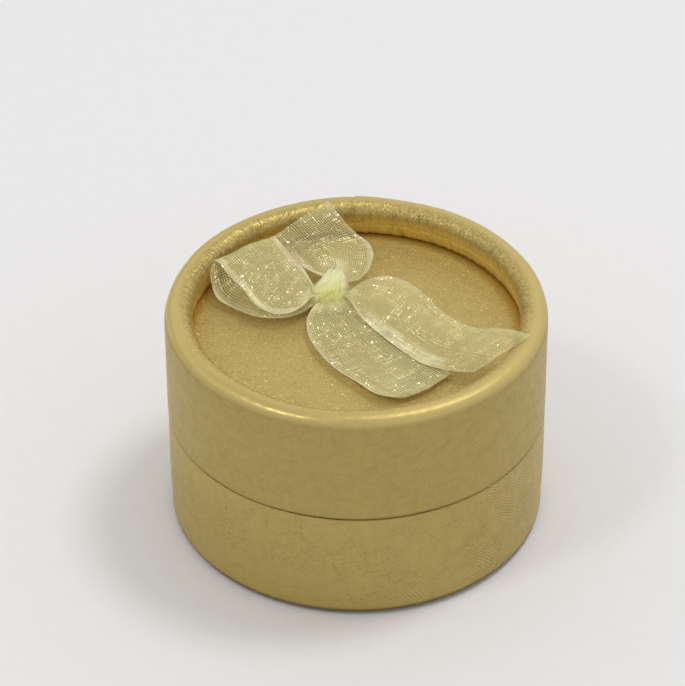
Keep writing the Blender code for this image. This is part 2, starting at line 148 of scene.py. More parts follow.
class Graph:
    """A material with one main shader, and short ways to add the nodes behind it."""

    def __init__(self, name):
        self.mat = bpy.data.materials.new(name)
        self.mat.use_nodes = True
        self.tree = self.mat.node_tree
        self.tree.nodes.clear()
        self.out = self.node("ShaderNodeOutputMaterial")
        self.shader = self.node("ShaderNodeBsdfPrincipled")
        self.tree.links.new(self.shader.outputs[0], self.out.inputs["Surface"])

    def feed(self, socket, value):
        if isinstance(value, bpy.types.Node):
            value = value.outputs[0]
        if isinstance(value, bpy.types.NodeSocket):
            self.tree.links.new(value, socket)
        elif socket.type == "RGBA" and len(value) == 3:
            socket.default_value = (*value, 1.0)
        else:
            socket.default_value = value

    def node(self, kind, inputs=None, **settings):
        n = self.tree.nodes.new(kind)
        for key, value in settings.items():
            setattr(n, key, value)
        for key, value in (inputs or {}).items():
            self.feed(n.inputs[key], value)
        return n

    def set(self, **values):
        for key, value in values.items():
            self.feed(self.shader.inputs[key.replace("_", " ")], value)

    def maths(self, operation, a, b=None, c=None, clamp=False):
        inputs = {0: a}
        if b is not None:
            inputs[1] = b
        if c is not None:
            inputs[2] = c
        return self.node(
            "ShaderNodeMath", inputs, operation=operation, use_clamp=clamp
        ).outputs[0]

    def vector(self, operation, a, b=None, scale=None):
        inputs = {0: a}
        if b is not None:
            inputs[1] = b
        n = self.node("ShaderNodeVectorMath", inputs, operation=operation)
        if scale is not None:
            self.feed(n.inputs["Scale"], scale)
        return n.outputs["Value" if operation in ("LENGTH", "DOT_PRODUCT") else 0]

    def step(self, value, low, high, to_low=0.0, to_high=1.0):
        """to_low below low, to_high above high, and a smooth change between."""
        return self.node(
            "ShaderNodeMapRange",
            {"Value": value, 1: low, 2: high, 3: to_low, 4: to_high},
            interpolation_type="SMOOTHSTEP",
        ).outputs[0]

    def blend(self, factor, a, b):
        n = self.node("ShaderNodeMix", data_type="RGBA", clamp_factor=True)
        self.feed(n.inputs[0], factor)
        self.feed(n.inputs[6], a)
        self.feed(n.inputs[7], b)
        return n.outputs[2]

    def between(self, factor, a, b):
        n = self.node("ShaderNodeMix", data_type="FLOAT", clamp_factor=True)
        self.feed(n.inputs[0], factor)
        self.feed(n.inputs[2], a)
        self.feed(n.inputs[3], b)
        return n.outputs[0]

    def scaled(self, colour, by):
        """A colour times a number."""
        return self.vector("SCALE", colour, scale=by)

    def flat_map(self, name="mm"):
        return self.node("ShaderNodeUVMap", uv_map=name).outputs[0]

    def noise(self, where, scale, detail=2.0, rough=0.5, distortion=0.0, colour=False):
        n = self.node(
            "ShaderNodeTexNoise",
            {
                "Vector": where,
                "Scale": scale,
                "Detail": detail,
                "Roughness": rough,
                "Distortion": distortion,
            },
        )
        return n.outputs[1 if colour else 0]

    def cells(self, where, scale, feature="F1", random=1.0):
        return self.node(
            "ShaderNodeTexVoronoi",
            {"Vector": where, "Scale": scale, "Randomness": random},
            feature=feature,
        )

    def bump(self, height, depth, normal=None, strength=1.0):
        """depth is in metres."""
        n = self.node(
            "ShaderNodeBump",
            {"Height": height, "Distance": depth, "Strength": strength},
        )
        if normal is not None:
            self.feed(n.inputs["Normal"], normal)
        return n.outputs[0]

    def dice(self, cell, offset=0.0):
        """Random numbers of each cell: (one number, a colour)."""
        if offset:
            cell = self.vector("ADD", cell, (offset, offset + 26.0, offset - 20.0))
        n = self.node("ShaderNodeTexWhiteNoise", {"Vector": cell}, noise_dimensions="3D")
        return n.outputs[0], n.outputs[1]

    def tipped(self, colour, tilt, lean=None):
        """The surface's normal, tipped by a random colour times tilt."""
        tip = self.vector("SUBTRACT", colour, (0.5, 0.5, 0.5))
        tip = self.vector("SCALE", tip, scale=tilt)
        if lean is not None:
            tip = self.vector("ADD", tip, lean)
        base = self.node("ShaderNodeNewGeometry").outputs["Normal"]
        return self.vector("NORMALIZE", self.vector("ADD", base, tip))


def pearl_paper(
    name,
    colour,
    roughness=0.42,
    metallic=0.38,
    emboss=1.0,
    grain_tilt=0.05,
    flake=0.15,
    glints=0.0,
    glint_tilt=0.3,
    linen=0.0,
    creased=False,
    foot=False,
    rubbed=0.0,
    grit=0.12,
):
    """Gold pearl paper: a soft embossed foliage of hatched and ringed leaves, a fine stipple
    and tiny mica glints. The map is in millimetres over the paper."""
    g = Graph(name)
    at = g.flat_map()
    drift = g.vector(
        "SUBTRACT", g.noise(at, 0.2, 1.0, colour=True), (0.5, 0.5, 0.5)
    )
    warped = g.vector("ADD", at, g.vector("SCALE", drift, scale=4.5))
    leaf = g.cells(warped, 1 / 6.0)
    dice = g.node("ShaderNodeSeparateColor", {0: leaf.outputs["Color"]})
    rim = g.cells(warped, 1 / 6.0, "DISTANCE_TO_EDGE").outputs["Distance"]
    # Each leaf is filled with fine lines that run its own way
    turned = g.node(
        "ShaderNodeVectorRotate",
        {
            "Vector": g.vector("ADD", at, g.vector("SCALE", drift, scale=1.8)),
            "Angle": g.maths("MULTIPLY", dice.outputs[0], TAU),
        },
        rotation_type="Z_AXIS",
    ).outputs[0]
    across = g.node("ShaderNodeSeparateXYZ", {0: turned}).outputs[0]
    hatch = g.maths("SINE", g.maths("MULTIPLY", across, TAU / 0.42))
    far = g.maths("MULTIPLY", leaf.outputs["Distance"], 6.0)
    rings = g.maths("SINE", g.maths("MULTIPLY", far, TAU / 0.7))
    inside = g.step(rim, 0.03, 0.10)
    hatched = g.maths("MULTIPLY", g.step(dice.outputs[1], 0.52, 0.58, 1, 0), inside)
    hatched = g.maths("MULTIPLY", hatched, g.step(g.noise(at, 0.045, 1.0), 0.4, 0.56, 0.25, 1.0))
    if foot:
        # The pattern is pressed deeper on one side of the base
        side = g.node("ShaderNodeTexCoord").outputs["Object"]
        side = g.node("ShaderNodeSeparateXYZ", {0: side}).outputs[0]
        hatched = g.maths("MULTIPLY", hatched, g.step(side, 0.0, 0.016, 0.8, 2.2))
    ringed = g.maths("MULTIPLY", g.step(dice.outputs[1], 0.66, 0.72), inside)
    # Stems: the contour lines of a slow noise
    flow = g.maths("FRACT", g.maths("MULTIPLY", g.noise(at, 0.13, 0.5), 9.0))
    stem = g.step(g.maths("ABSOLUTE", g.maths("SUBTRACT", flow, 0.5)), 0.0, 0.09, 1, 0)
    outline = g.step(rim, 0.0, 0.05, 1, 0)
    grain = g.noise(at, 4.0, 3.0, 0.62)
    stipple = g.cells(at, 3.2).outputs["Distance"]
    mottle = g.noise(at, 0.6, 4.0, 0.6)
    height = g.maths("MULTIPLY", hatched, g.maths("MULTIPLY", hatch, 0.9 * emboss))
    height = g.maths(
        "MULTIPLY_ADD", ringed, g.maths("MULTIPLY", rings, 0.5 * emboss), height
    )
    height = g.maths("MULTIPLY_ADD", stem, 0.7 * emboss, height)
    height = g.maths("MULTIPLY_ADD", outline, 0.7 * emboss, height)
    height = g.maths("MULTIPLY_ADD", grain, 1.2, height)
    height = g.maths("MULTIPLY_ADD", stipple, 0.6, height)
    height = g.maths("MULTIPLY_ADD", mottle, 2.4, height)
    # Mica: every speck lies at its own small angle, and a few stand steeper and shine
    cell = g.vector("FLOOR", g.vector("SCALE", at, scale=1.0 / flake))
    _, angle = g.dice(cell)
    chance, _ = g.dice(cell, 31.0)
    shade = g.step(mottle, 0.3, 0.7, 0.965, 1.03)
    if creased:
        # Fine pleats where the paper is drawn in round the curl, and thin cracks in them
        where = g.node("ShaderNodeSeparateXYZ", {0: at}).outputs[1]
        drawn = g.step(where, 3.6, 7.5, 1.0, 0.0)
        ahead = g.node("ShaderNodeTexCoord").outputs["Object"]
        ahead = g.node("ShaderNodeSeparateXYZ", {0: ahead}).outputs[1]
        drawn = g.maths("MULTIPLY", drawn, g.step(ahead, -0.02, -0.006, 0.12, 1.0))
        pleat = g.noise(g.vector("MULTIPLY", at, (2.6, 0.2, 1.0)), 1.0, 4.0, 0.68)
        height = g.maths("MULTIPLY_ADD", pleat, g.maths("MULTIPLY", drawn, 7.0), height)
        crack = g.noise(g.vector("MULTIPLY", at, (0.9, 0.16, 1.0)), 1.0, 3.0, 0.6)
        crack = g.step(g.maths("ABSOLUTE", g.maths("SUBTRACT", crack, 0.5)), 0.0, 0.012, 1, 0)
        some = g.step(g.noise(at, 0.3, 1.0), 0.45, 0.53)
        crack = g.maths("MULTIPLY", g.maths("MULTIPLY", crack, some), drawn)
        height = g.maths("MULTIPLY_ADD", crack, -4.0, height)
        # The cracks are painted darker: painted shade in them
        shade = g.maths("MULTIPLY_ADD", crack, -0.45, shade)
        # The pleats are painted lighter on their ridges and darker in their valleys: painted light and shade
        streak = g.maths("MULTIPLY", g.maths("SUBTRACT", pleat, 0.5), drawn)
        shade = g.maths("MULTIPLY_ADD", streak, 0.85, shade)
        # Painted light and shade: the curl is painted lighter than the flat paper, and all the lid paper a little
        # darker, which leaves its wall darker than the base's
        shade = g.maths("MULTIPLY_ADD", g.step(where, 7.5, 8.8, 1, 0), 0.29, shade)
        shade = g.maths("ADD", shade, -0.08)
        # Painted light on the inside of the curl, which lies in shade within the rim
        shade = g.maths("MULTIPLY_ADD", g.step(where, 2.4, 4.0, 1, 0), 0.42, shade)
        # More painted light at the foot of that inside face, where the shade by the disc is deepest
        shade = g.maths("MULTIPLY_ADD", g.step(where, 0.6, 2.2, 1, 0), 0.2, shade)
        band = g.maths("MULTIPLY", g.step(where, 3.7, 4.5), g.step(where, 5.2, 6.4, 1, 0))
        glints = g.maths("MULTIPLY_ADD", band, 0.34, glints)
        # Painted shade: the crest band where the flecks glint is painted a little darker, against its highlight
        shade = g.maths("MULTIPLY_ADD", band, -0.12, shade)
        # Painted shade: the back half of the lid paper is painted a little darker
        shade = g.maths("ADD", g.step(ahead, -0.006, 0.016, 0.0, -0.05), shade)
        # Painted shade: the foot of the curl, where it meets the disc, is painted browner
        edge = g.step(where, 0.0, 0.7, 0.8, 0)
    if linen:
        # A faint cloth-like grain of rows of dots, in patches
        u, v, _ = g.node("ShaderNodeSeparateXYZ", {0: at}).outputs
        rows = g.maths(
            "MULTIPLY",
            g.maths("SINE", g.maths("MULTIPLY", u, TAU / 0.46)),
            g.maths("SINE", g.maths("MULTIPLY", v, TAU / 0.62)),
        )
        rows = g.maths("MULTIPLY", rows, g.step(g.noise(at, 0.11, 1.0), 0.42, 0.6, 0.25, 1.0))
        height = g.maths("MULTIPLY_ADD", rows, 0.9 * linen, height)
        shade = g.maths("MULTIPLY_ADD", rows, 0.05 * linen, shade)
        # and painted browner towards its edge, as painted shade in the gap under the curl
        middle = g.vector("LENGTH", g.vector("MULTIPLY", at, (1.0, 1.0, 0.0)))
        edge = g.step(middle, 22.6, 24.0, 0, 0.75)
        # Painted light in a ring just inside that, against the shade of the rim; the dotted grain shows stronger
        # there
        close = g.step(middle, 20.6, 22.6)
        shade = g.maths("MULTIPLY_ADD", close, 0.1, shade)
        shade = g.maths("MULTIPLY_ADD", g.maths("MULTIPLY", close, rows), 0.1 * linen, shade)
    if creased:
        # Burnished smooth where it is rolled over the outer side of the rim
        shiny = g.maths("MULTIPLY", g.step(where, 5.4, 6.6), g.step(where, 7.9, 8.9, 1, 0))
        calm = g.maths("MULTIPLY_ADD", shiny, -0.75, 1.0)
        # and most so on one side, where fingers hold the lid; that side is also painted a little lighter
        side = g.node("ShaderNodeTexCoord").outputs["Object"]
        side = g.node("ShaderNodeSeparateXYZ", {0: side}).outputs[0]
        held_and_lit_side = g.step(side, -0.002, 0.008, 1.0, -0.15)
        height = g.maths("MULTIPLY", height, calm)
        grain_tilt = g.maths("MULTIPLY", calm, grain_tilt)
    fleck = g.maths("LESS_THAN", chance, glints)
    facing = g.tipped(angle, g.between(fleck, grain_tilt, glint_tilt))
    normal = g.bump(height, 0.000016, facing)
    # Colour: slow mottling, lines a little darker, and paler where it is rubbed
    lines = g.maths("MULTIPLY_ADD", g.maths("MULTIPLY", hatched, hatch), 0.055 * emboss, shade)
    lines = g.maths("MULTIPLY_ADD", stem, -0.05 * emboss, lines)
    lines = g.maths("MULTIPLY_ADD", outline, -0.03 * emboss, lines)
    lines = g.maths("MULTIPLY_ADD", g.maths("SUBTRACT", grain, 0.5), grit, lines)
    pits = g.noise(g.vector("MULTIPLY", at, (2.0, 2.6, 1.0)), 1.0, 3.0, 0.7, 0.5)
    pits = g.maths("MULTIPLY", g.step(pits, 0.5, 0.64), g.step(g.noise(at, 0.16, 2.0), 0.42, 0.58))
    lines = g.maths("MULTIPLY_ADD", pits, -0.8 * grit, lines)
    tone = g.blend(g.maths("MULTIPLY", fleck, 0.4), colour, linear(250, 228, 150)[:3])
    tone = g.scaled(tone, lines)
    if foot:
        # Painted shade: darker and browner along the edge that it is set down on, a painted contact shadow, and at
        # its top edge by the seam
        rise = g.node("ShaderNodeSeparateXYZ", {0: at}).outputs[1]
        edge = g.step(rise, 18.1, 18.8, 0, 0.9)
        seam_painted_shade = g.step(rise, 0.9, 1.2, 0.3, 0)
    # The painted shade of these edges, in a deep brown
    if creased or linen or foot:
        tone = g.blend(edge, tone, linear(*((108, 82, 38) if foot else (190, 132, 22)))[:3])
    if creased:
        # Painted light: the inside of the curl is also painted paler and yellower
        tone = g.blend(g.step(where, 1.6, 3.6, 0.55, 0), tone, linear(244, 224, 130)[:3])
        # Painted shade along the lid's lower edge, by the seam
        seam_painted_shade = g.step(where, 24.25, 24.55, 0, 0.3)
    if creased or foot:
        # Painted shade: the two edges that meet at the seam are painted darker brown
        tone = g.blend(seam_painted_shade, tone, linear(118, 90, 38)[:3])
    if rubbed:
        wear = g.step(g.noise(at, 0.5, 4.0, 0.65), 0.56, 0.68, 0.0, rubbed)
        tone = g.blend(wear, tone, linear(206, 190, 150))
    soft = g.step(mottle, 0.3, 0.7, roughness + 0.05, roughness - 0.05)
    soft = g.maths("MULTIPLY_ADD", hatched, -0.04 * emboss, soft)
    metal = metallic
    if creased:
        # Painted light: the rolled outer side of the rim is painted paler, a little more on the held side
        rim_painted_light = g.maths("MULTIPLY", shiny, g.maths("MULTIPLY_ADD", held_and_lit_side, 0.07, 0.45))
        tone = g.blend(rim_painted_light, tone, linear(226, 204, 134)[:3])
        shiny = g.maths("MULTIPLY", shiny, held_and_lit_side)
        soft = g.maths("MULTIPLY_ADD", shiny, -0.075, soft)
        metal = g.maths("MULTIPLY_ADD", shiny, 0.3, metallic)
        metal = g.maths("MULTIPLY_ADD", g.step(where, 4.6, 6.0, 1, 0), 0.25, metal)
    g.set(
        Base_Color=tone,
        Metallic=g.maths("MAXIMUM", metal, g.maths("MULTIPLY", fleck, 0.6)),
        Normal=normal,
        Roughness=g.between(fleck, soft, 0.34),
    )
    g.shader.inputs["Specular IOR Level"].default_value = 0.45
    g.shader.inputs["Specular Tint"].default_value = (1.0, 0.9, 0.66, 1.0)
    g.shader.inputs["Sheen Weight"].default_value = 0.06
    g.shader.inputs["Sheen Roughness"].default_value = 0.4
    g.shader.inputs["Sheen Tint"].default_value = (1.0, 0.92, 0.7, 1.0)
    return g.mat


GOLD = linear(186, 164, 96)[:3]
wall_paper = pearl_paper("gold_embossed_paper", GOLD, emboss=1.35, foot=True, grit=0.24)
lid_paper = pearl_paper("gold_lid_paper", GOLD, creased=True)
# The top's paper is given a lighter gold than the walls': painted light on the top
disc_paper = pearl_paper(
    "gold_disc_paper",
    linear(198, 174, 104)[:3],
    roughness=0.4,
    emboss=0.5,
    grain_tilt=0.09,
    glints=0.2,
    glint_tilt=0.5,
    linen=1.0,
)
neck_cover = pearl_paper("gold_neck_paper", linear(188, 161, 96)[:3], emboss=0.35)
under_paper = pearl_paper(
    "gold_underside_paper", GOLD, roughness=0.5, emboss=0.8, rubbed=0.45
)


def board(name, colour, speck=0.12):
    """Raw greyboard: felted fibres, darker and paler specks, a fuzzy cut."""
    g = Graph(name)
    at = g.vector("SCALE", g.node("ShaderNodeTexCoord").outputs["Object"], scale=1000)
    fibre = g.noise(g.vector("MULTIPLY", at, (1.0, 1.0, 3.0)), 2.2, 4.0, 0.7, 0.6)
    fleck = g.cells(at, 1.7).outputs["Distance"]
    cloud = g.noise(at, 0.25, 2.0)
    shade = g.step(fibre, 0.25, 0.75, 1 - speck, 1 + speck)
    shade = g.maths("MULTIPLY", shade, g.step(cloud, 0.3, 0.7, 0.94, 1.05))
    shade = g.maths("MULTIPLY", shade, g.step(fleck, 0.05, 0.16, 0.8, 1.0))
    g.set(
        Base_Color=g.scaled(colour, shade),
        Roughness=g.step(fibre, 0.3, 0.7, 0.85, 0.97),
        Normal=g.bump(g.maths("ADD", fibre, g.maths("MULTIPLY", fleck, 0.4)), 0.00006),
    )
    g.shader.inputs["Specular IOR Level"].default_value = 0.2
    return g.mat


grey_board = board("greyboard", linear(168, 158, 140)[:3])
pale_board = board("pale_board", linear(205, 197, 182)[:3], 0.08)


def lining_paper():
    g = Graph("cream_lining_paper")
    at = g.flat_map()
    fibre = g.noise(g.vector("MULTIPLY", at, (1.0, 2.6, 1.0)), 1.6, 4.0, 0.65, 0.4)
    cloud = g.noise(at, 0.12, 2.0)
    shade = g.maths(
        "MULTIPLY",
        g.step(fibre, 0.25, 0.75, 0.95, 1.03),
        g.step(cloud, 0.3, 0.7, 0.96, 1.02),
    )
    g.set(
        Base_Color=g.scaled(linear(240, 236, 226)[:3], shade),
        Roughness=g.step(fibre, 0.3, 0.7, 0.78, 0.9),
        Normal=g.bump(fibre, 0.00003),
    )
    g.shader.inputs["Specular IOR Level"].default_value = 0.3
    return g.mat


lining = lining_paper()


def foam_material():
    g = Graph("pad_foam")
    at = g.vector("SCALE", g.node("ShaderNodeTexCoord").outputs["Object"], scale=1000)
    pores = g.cells(at, 1.5).outputs["Distance"]
    small = g.cells(at, 3.8).outputs["Distance"]
    open_ = g.maths("MULTIPLY", g.step(pores, 0.1, 0.45), g.step(small, 0.05, 0.4, 0.75, 1))
    g.set(
        Base_Color=g.scaled(linear(240, 235, 222)[:3], g.step(open_, 0, 1, 0.72, 1.0)),
        Roughness=g.step(open_, 0, 1, 0.98, 0.9),
        Normal=g.bump(open_, 0.0002),
    )
    g.shader.inputs["Specular IOR Level"].default_value = 0.2
    return g.mat


def velour_material():
    """Short pile: fine tufts, strokes where it lies another way, a soft bright edge."""
    g = Graph("pad_velour")
    at = g.vector("SCALE", g.node("ShaderNodeTexCoord").outputs["Object"], scale=1000)
    tuft = g.cells(at, 4.6).outputs["Distance"]
    fuzz = g.noise(at, 7.0, 3.0, 0.7)
    stroke = g.noise(g.vector("MULTIPLY", at, (0.8, 1.1, 1.0)), 0.16, 2.0, 0.5, 0.5)
    shade = g.maths(
        "MULTIPLY", g.step(stroke, 0.35, 0.65, 0.95, 1.03), g.step(tuft, 0.1, 0.6, 0.8, 1.05)
    )
    g.set(
        Base_Color=g.scaled(linear(243, 230, 200)[:3], shade),
        Roughness=g.step(fuzz, 0.3, 0.7, 0.9, 1.0),
        Normal=g.bump(
            g.maths("MULTIPLY_ADD", tuft, 0.8, g.maths("MULTIPLY", fuzz, 0.7)), 0.00012
        ),
    )
    g.shader.inputs["Specular IOR Level"].default_value = 0.15
    g.shader.inputs["Sheen Weight"].default_value = 0.6
    g.shader.inputs["Sheen Roughness"].default_value = 0.35
    return g.mat


foam_look, velour_look = foam_material(), velour_material()

RIBBON_W = 10.0  # the ribbon's own width
THREAD = 0.34  # between threads


def organza(name, colour, spangle):
    """Sheer plain weave with denser selvages and metallic flecks. The map is in millimetres:
    x across the ribbon from one selvage to the other, y along it."""
    g = Graph(name)
    at = g.flat_map()
    x, y, _ = g.node("ShaderNodeSeparateXYZ", {0: at}).outputs
    wander = g.maths("MULTIPLY", g.maths("SUBTRACT", g.noise(at, 0.9, 1.0), 0.5), 0.3)

    def threads(value, seed):
        """How much a thread covers here, and a number of that thread's own."""
        value = g.maths("DIVIDE", g.maths("ADD", value, wander), THREAD)
        which = g.maths("ADD", g.maths("ROUND", value), seed)
        own = g.node(
            "ShaderNodeTexWhiteNoise", {"W": which}, noise_dimensions="1D"
        ).outputs[0]
        away = g.maths("MULTIPLY", g.maths("PINGPONG", value, 0.5), 2.0)
        thin = g.maths("MULTIPLY_ADD", own, 0.24, -0.12)
        return g.step(g.maths("ADD", away, thin), 0.22, 0.52, 1.0, 0.0), own

    warp, warp_own = threads(x, 0.0)
    weft, weft_own = threads(y, 500.0)
    from_edge = g.maths(
        "SUBTRACT", RIBBON_W / 2, g.maths("ABSOLUTE", g.maths("SUBTRACT", x, RIBBON_W / 2))
    )
    selvage = g.step(from_edge, 0.45, 1.0, 1.0, 0.0)
    weave = g.maths("MAXIMUM", warp, weft)
    weave = g.maths("MULTIPLY", weave, g.maths("MULTIPLY_ADD", selvage, -0.7, 1.0))
    knots = g.maths("MULTIPLY", weave, g.maths("MINIMUM", warp, weft))
    cord = g.step(from_edge, 0.08, 0.17, 1.0, 0.0)
    patch = g.noise(at, 0.28, 2.0)
    thick, shine, _ = g.node("ShaderNodeSeparateXYZ", {0: g.flat_map("cloth")}).outputs
    # In places the weave stands open, and in others it lies closed like a film
    shut = g.maths("MULTIPLY_ADD", thick, 0.5, g.noise(at, 0.16, 1.5))
    shut = g.maths("MULTIPLY_ADD", shine, -0.25, shut)
    shut = g.step(shut, 0.42, 0.66)
    alpha = g.maths("MULTIPLY_ADD", weave, g.between(shut, 0.48, 0.24), g.between(shut, 0.05, 0.2))
    loose = g.maths("MULTIPLY", g.step(thick, -0.3, -0.06, 1, 0), g.maths("SUBTRACT", 1.0, selvage))
    alpha = g.maths("MULTIPLY_ADD", loose, g.between(weave, 0.47, 0.11), alpha)
    alpha = g.maths("MULTIPLY_ADD", knots, 0.14, alpha)
    alpha = g.maths("MULTIPLY_ADD", selvage, 0.19, alpha)
    alpha = g.maths("MULTIPLY_ADD", cord, 0.12, alpha)
    alpha = g.maths("MULTIPLY_ADD", thick, 0.32, alpha)
    # Gathered towards the knot, the cloth lies in bright ridges and thin valleys
    gather = g.step(thick, 0.15, 0.8)
    ridge = g.noise(g.vector("MULTIPLY", at, (1.7, 0.2, 1.0)), 1.0, 4.0, 0.65)
    ridge = g.maths("MULTIPLY", g.maths("SUBTRACT", g.step(ridge, 0.36, 0.62), 0.3), gather)
    alpha = g.maths("MULTIPLY_ADD", ridge, 0.45, alpha, clamp=True)
    # Flecks at some of the crossings: small flat mirrors, each tipped its own way
    grid = g.vector("SCALE", g.vector("ADD", at, wander), scale=1.0 / THREAD)
    grid = g.vector("MULTIPLY", grid, (1.0, 0.62, 1.0))
    cell = g.vector("FLOOR", g.vector("ADD", grid, (0.5, 0.5, 0.0)))
    _, angle = g.dice(cell)
    chance, _ = g.dice(cell, 31.0)
    near = g.vector("LENGTH", g.vector("SUBTRACT", grid, cell))
    lively = g.step(g.noise(at, 0.4, 1.5), 0.42, 0.6)
    share = g.maths("MULTIPLY_ADD", lively, 0.53, 0.07)
    # Painted highlight: the threads are painted paler and denser where they catch the light in the same places, some
    # more than others
    lit = g.maths("MULTIPLY", g.maths("MULTIPLY", lively, weave), g.maths("MULTIPLY", warp_own, weft_own))
    alpha = g.maths("MULTIPLY_ADD", lit, 0.6, alpha)
    alpha = g.maths("MULTIPLY_ADD", lively, -0.1, alpha, clamp=True)
    share = g.maths("MULTIPLY_ADD", shine, 0.6, share)
    chosen = g.maths("LESS_THAN", chance, share)
    fleck = g.maths("MULTIPLY", chosen, g.step(near, 0.26, 0.44, 1.0, 0.0))
    alpha = g.maths("MAXIMUM", alpha, g.maths("MULTIPLY", fleck, 0.88), clamp=True)
    lean = g.vector("SCALE", (0.04, -0.26, 0.0), scale=fleck)
    facing = g.tipped(angle, g.between(fleck, 0.3, 0.62), lean)
    relief = g.maths("MULTIPLY", weave, 0.6)
    tone = g.blend(selvage, colour, linear(238, 227, 170)[:3])
    tone = g.blend(g.maths("MULTIPLY", thick, 0.6, clamp=True), tone, linear(241, 233, 192)[:3])
    tone = g.blend(g.step(ridge, 0.0, 0.4), tone, linear(250, 244, 190)[:3])
    # Painted highlight: on a selvage, where the flecks face the light, they are painted pinkish white
    bright = g.blend(g.maths("MULTIPLY", shine, selvage, clamp=True), spangle, linear(255, 240, 222)[:3])
    # The openings of the loose weave look darker: the threads shade what lies behind them
    gap = g.maths("MULTIPLY_ADD", loose, 0.65, 0.35)
    gap = g.maths("MULTIPLY", gap, g.maths("SUBTRACT", 1.0, weave))
    gap = g.maths("MULTIPLY", gap, g.maths("SUBTRACT", 1.0, g.maths("MAXIMUM", shut, selvage)), clamp=True)
    tone = g.blend(gap, tone, linear(80, 68, 28)[:3])
    tone = g.blend(g.maths("MULTIPLY", lit, 1.2, clamp=True), tone, bright)
    # The flecks are painted pale as well as tipped: partly reflection, partly painted glint
    tone = g.blend(fleck, tone, bright)
    shade = g.maths(
        "MULTIPLY",
        g.step(patch, 0.3, 0.7, 0.96, 1.03),
        g.maths("MULTIPLY_ADD", g.maths("ADD", warp_own, weft_own), 0.12, 0.88),
    )
    g.set(
        Base_Color=g.scaled(tone, shade),
        Alpha=alpha,
        Metallic=g.maths("MULTIPLY", fleck, 0.7),
        Roughness=g.between(fleck, 0.5, g.step(chance, 0.0, 0.6, 0.2, 0.42)),
        Normal=g.bump(relief, 0.00003, facing),
    )
    g.shader.inputs["Specular IOR Level"].default_value = 0.5
    return g.mat


ribbon_look = organza(
    "organza", linear(234, 223, 156)[:3], linear(254, 243, 186)[:3]
)


def knot_material():
    """Many layers of the same cloth drawn together: paler where it comes over the top, deeper
    yellow-green in front, and thinner at both sides. The map's x runs across it."""
    g = Graph("organza_knot")
    at = g.flat_map()
    x, y, _ = g.node("ShaderNodeSeparateXYZ", {0: at}).outputs
    run = g.noise(g.vector("MULTIPLY", at, (2.2, 0.35, 1.0)), 1.0, 4.0, 0.66)
    weave = g.maths("ADD", y, g.maths("MULTIPLY", g.noise(at, 0.8, 2.0), 1.4))
    weave = g.step(g.maths("PINGPONG", weave, 0.15), 0.03, 0.12)
    cell = g.vector("FLOOR", g.vector("MULTIPLY", at, (6.0, 3.6, 1.0)))
    _, angle = g.dice(cell)
    chance, _ = g.dice(cell, 31.0)
    fleck = g.maths("LESS_THAN", chance, 0.16)
    facing = g.tipped(angle, g.between(fleck, 0.3, 0.8))
    deep = g.step(g.maths("ADD", y, g.maths("MULTIPLY", run, 1.6)), 4.6, 6.6)
    tone = g.blend(deep, linear(254, 252, 190)[:3], linear(255, 255, 168)[:3])
    tone = g.scaled(tone, g.step(run, 0.25, 0.75, 0.94, 1.04))
    tone = g.blend(g.maths("MULTIPLY", fleck, 0.7), tone, linear(253, 246, 208)[:3])
    side = g.maths("ABSOLUTE", g.maths("SUBTRACT", x, 5.0))
    thin = g.step(side, 3.0, 4.9, 0.98, 0.5)
    thin = g.maths("MULTIPLY", thin, g.step(y, 7.4, 8.6, 1.0, 0.6))
    alpha = g.maths("SUBTRACT", thin, g.maths("MULTIPLY", g.step(run, 0.3, 0.6, 0.12, 0.0), weave))
    g.set(
        Base_Color=g.scaled(tone, g.step(weave, 0, 1, 1.02, 0.97)),
        Alpha=g.maths("MAXIMUM", alpha, g.maths("MULTIPLY", fleck, 0.8), clamp=True),
        Metallic=g.maths("MULTIPLY", fleck, 0.4),
        Roughness=g.step(run, 0.3, 0.7, 0.5, 0.34),
        Normal=g.bump(g.maths("MULTIPLY_ADD", weave, -0.25, run), 0.00006, facing),
    )
    g.shader.inputs["Sheen Weight"].default_value = 0.35
    g.shader.inputs["Sheen Roughness"].default_value = 0.4
    g.shader.inputs["Sheen Tint"].default_value = (1.0, 1.0, 0.6, 1.0)
    g.shader.inputs["Subsurface Weight"].default_value = 0.8
    g.shader.inputs["Subsurface Radius"].default_value = (3.0, 3.0, 1.7)
    g.shader.inputs["Subsurface Scale"].default_value = 0.001
    return g.mat


knot_look = knot_material()


def glue_material():
    g = Graph("hot_glue")
    at = g.vector("SCALE", g.node("ShaderNodeTexCoord").outputs["Object"], scale=1000)
    cloud = g.noise(at, 1.2, 3.0)
    g.set(
        Base_Color=g.scaled(linear(228, 222, 200)[:3], g.step(cloud, 0.3, 0.7, 0.9, 1.04)),
        Roughness=g.step(cloud, 0.3, 0.7, 0.22, 0.42),
        Normal=g.bump(cloud, 0.0001),
    )
    g.shader.inputs["Subsurface Weight"].default_value = 0.2
    g.shader.inputs["Subsurface Radius"].default_value = (0.6, 0.5, 0.35)
    g.shader.inputs["Subsurface Scale"].default_value = 0.001
    return g.mat


glue_look = glue_material()


def floor_material():
    g = Graph("pale_floor")
    at = g.vector("SCALE", g.node("ShaderNodeTexCoord").outputs["Object"], scale=1000)
    weave = g.noise(at, 0.35, 3.0, 0.6)
    g.set(
        Base_Color=g.scaled((0.945, 0.935, 0.935), g.step(weave, 0.2, 0.8, 0.992, 1.006)),
        Roughness=0.7,
        Normal=g.bump(weave, 0.00008),
    )
    g.shader.inputs["Specular IOR Level"].default_value = 0.2
    return g.mat


# --------------------------------------------------------------------- meshes
def arc(cr, cz, radius, start, end, steps):
    """Points (r, z) on an arc, angles in degrees from +r towards +z."""
    a = np.radians(np.linspace(start, end, steps + 1))
    return [(cr + radius * math.cos(t), cz + radius * math.sin(t)) for t in a]


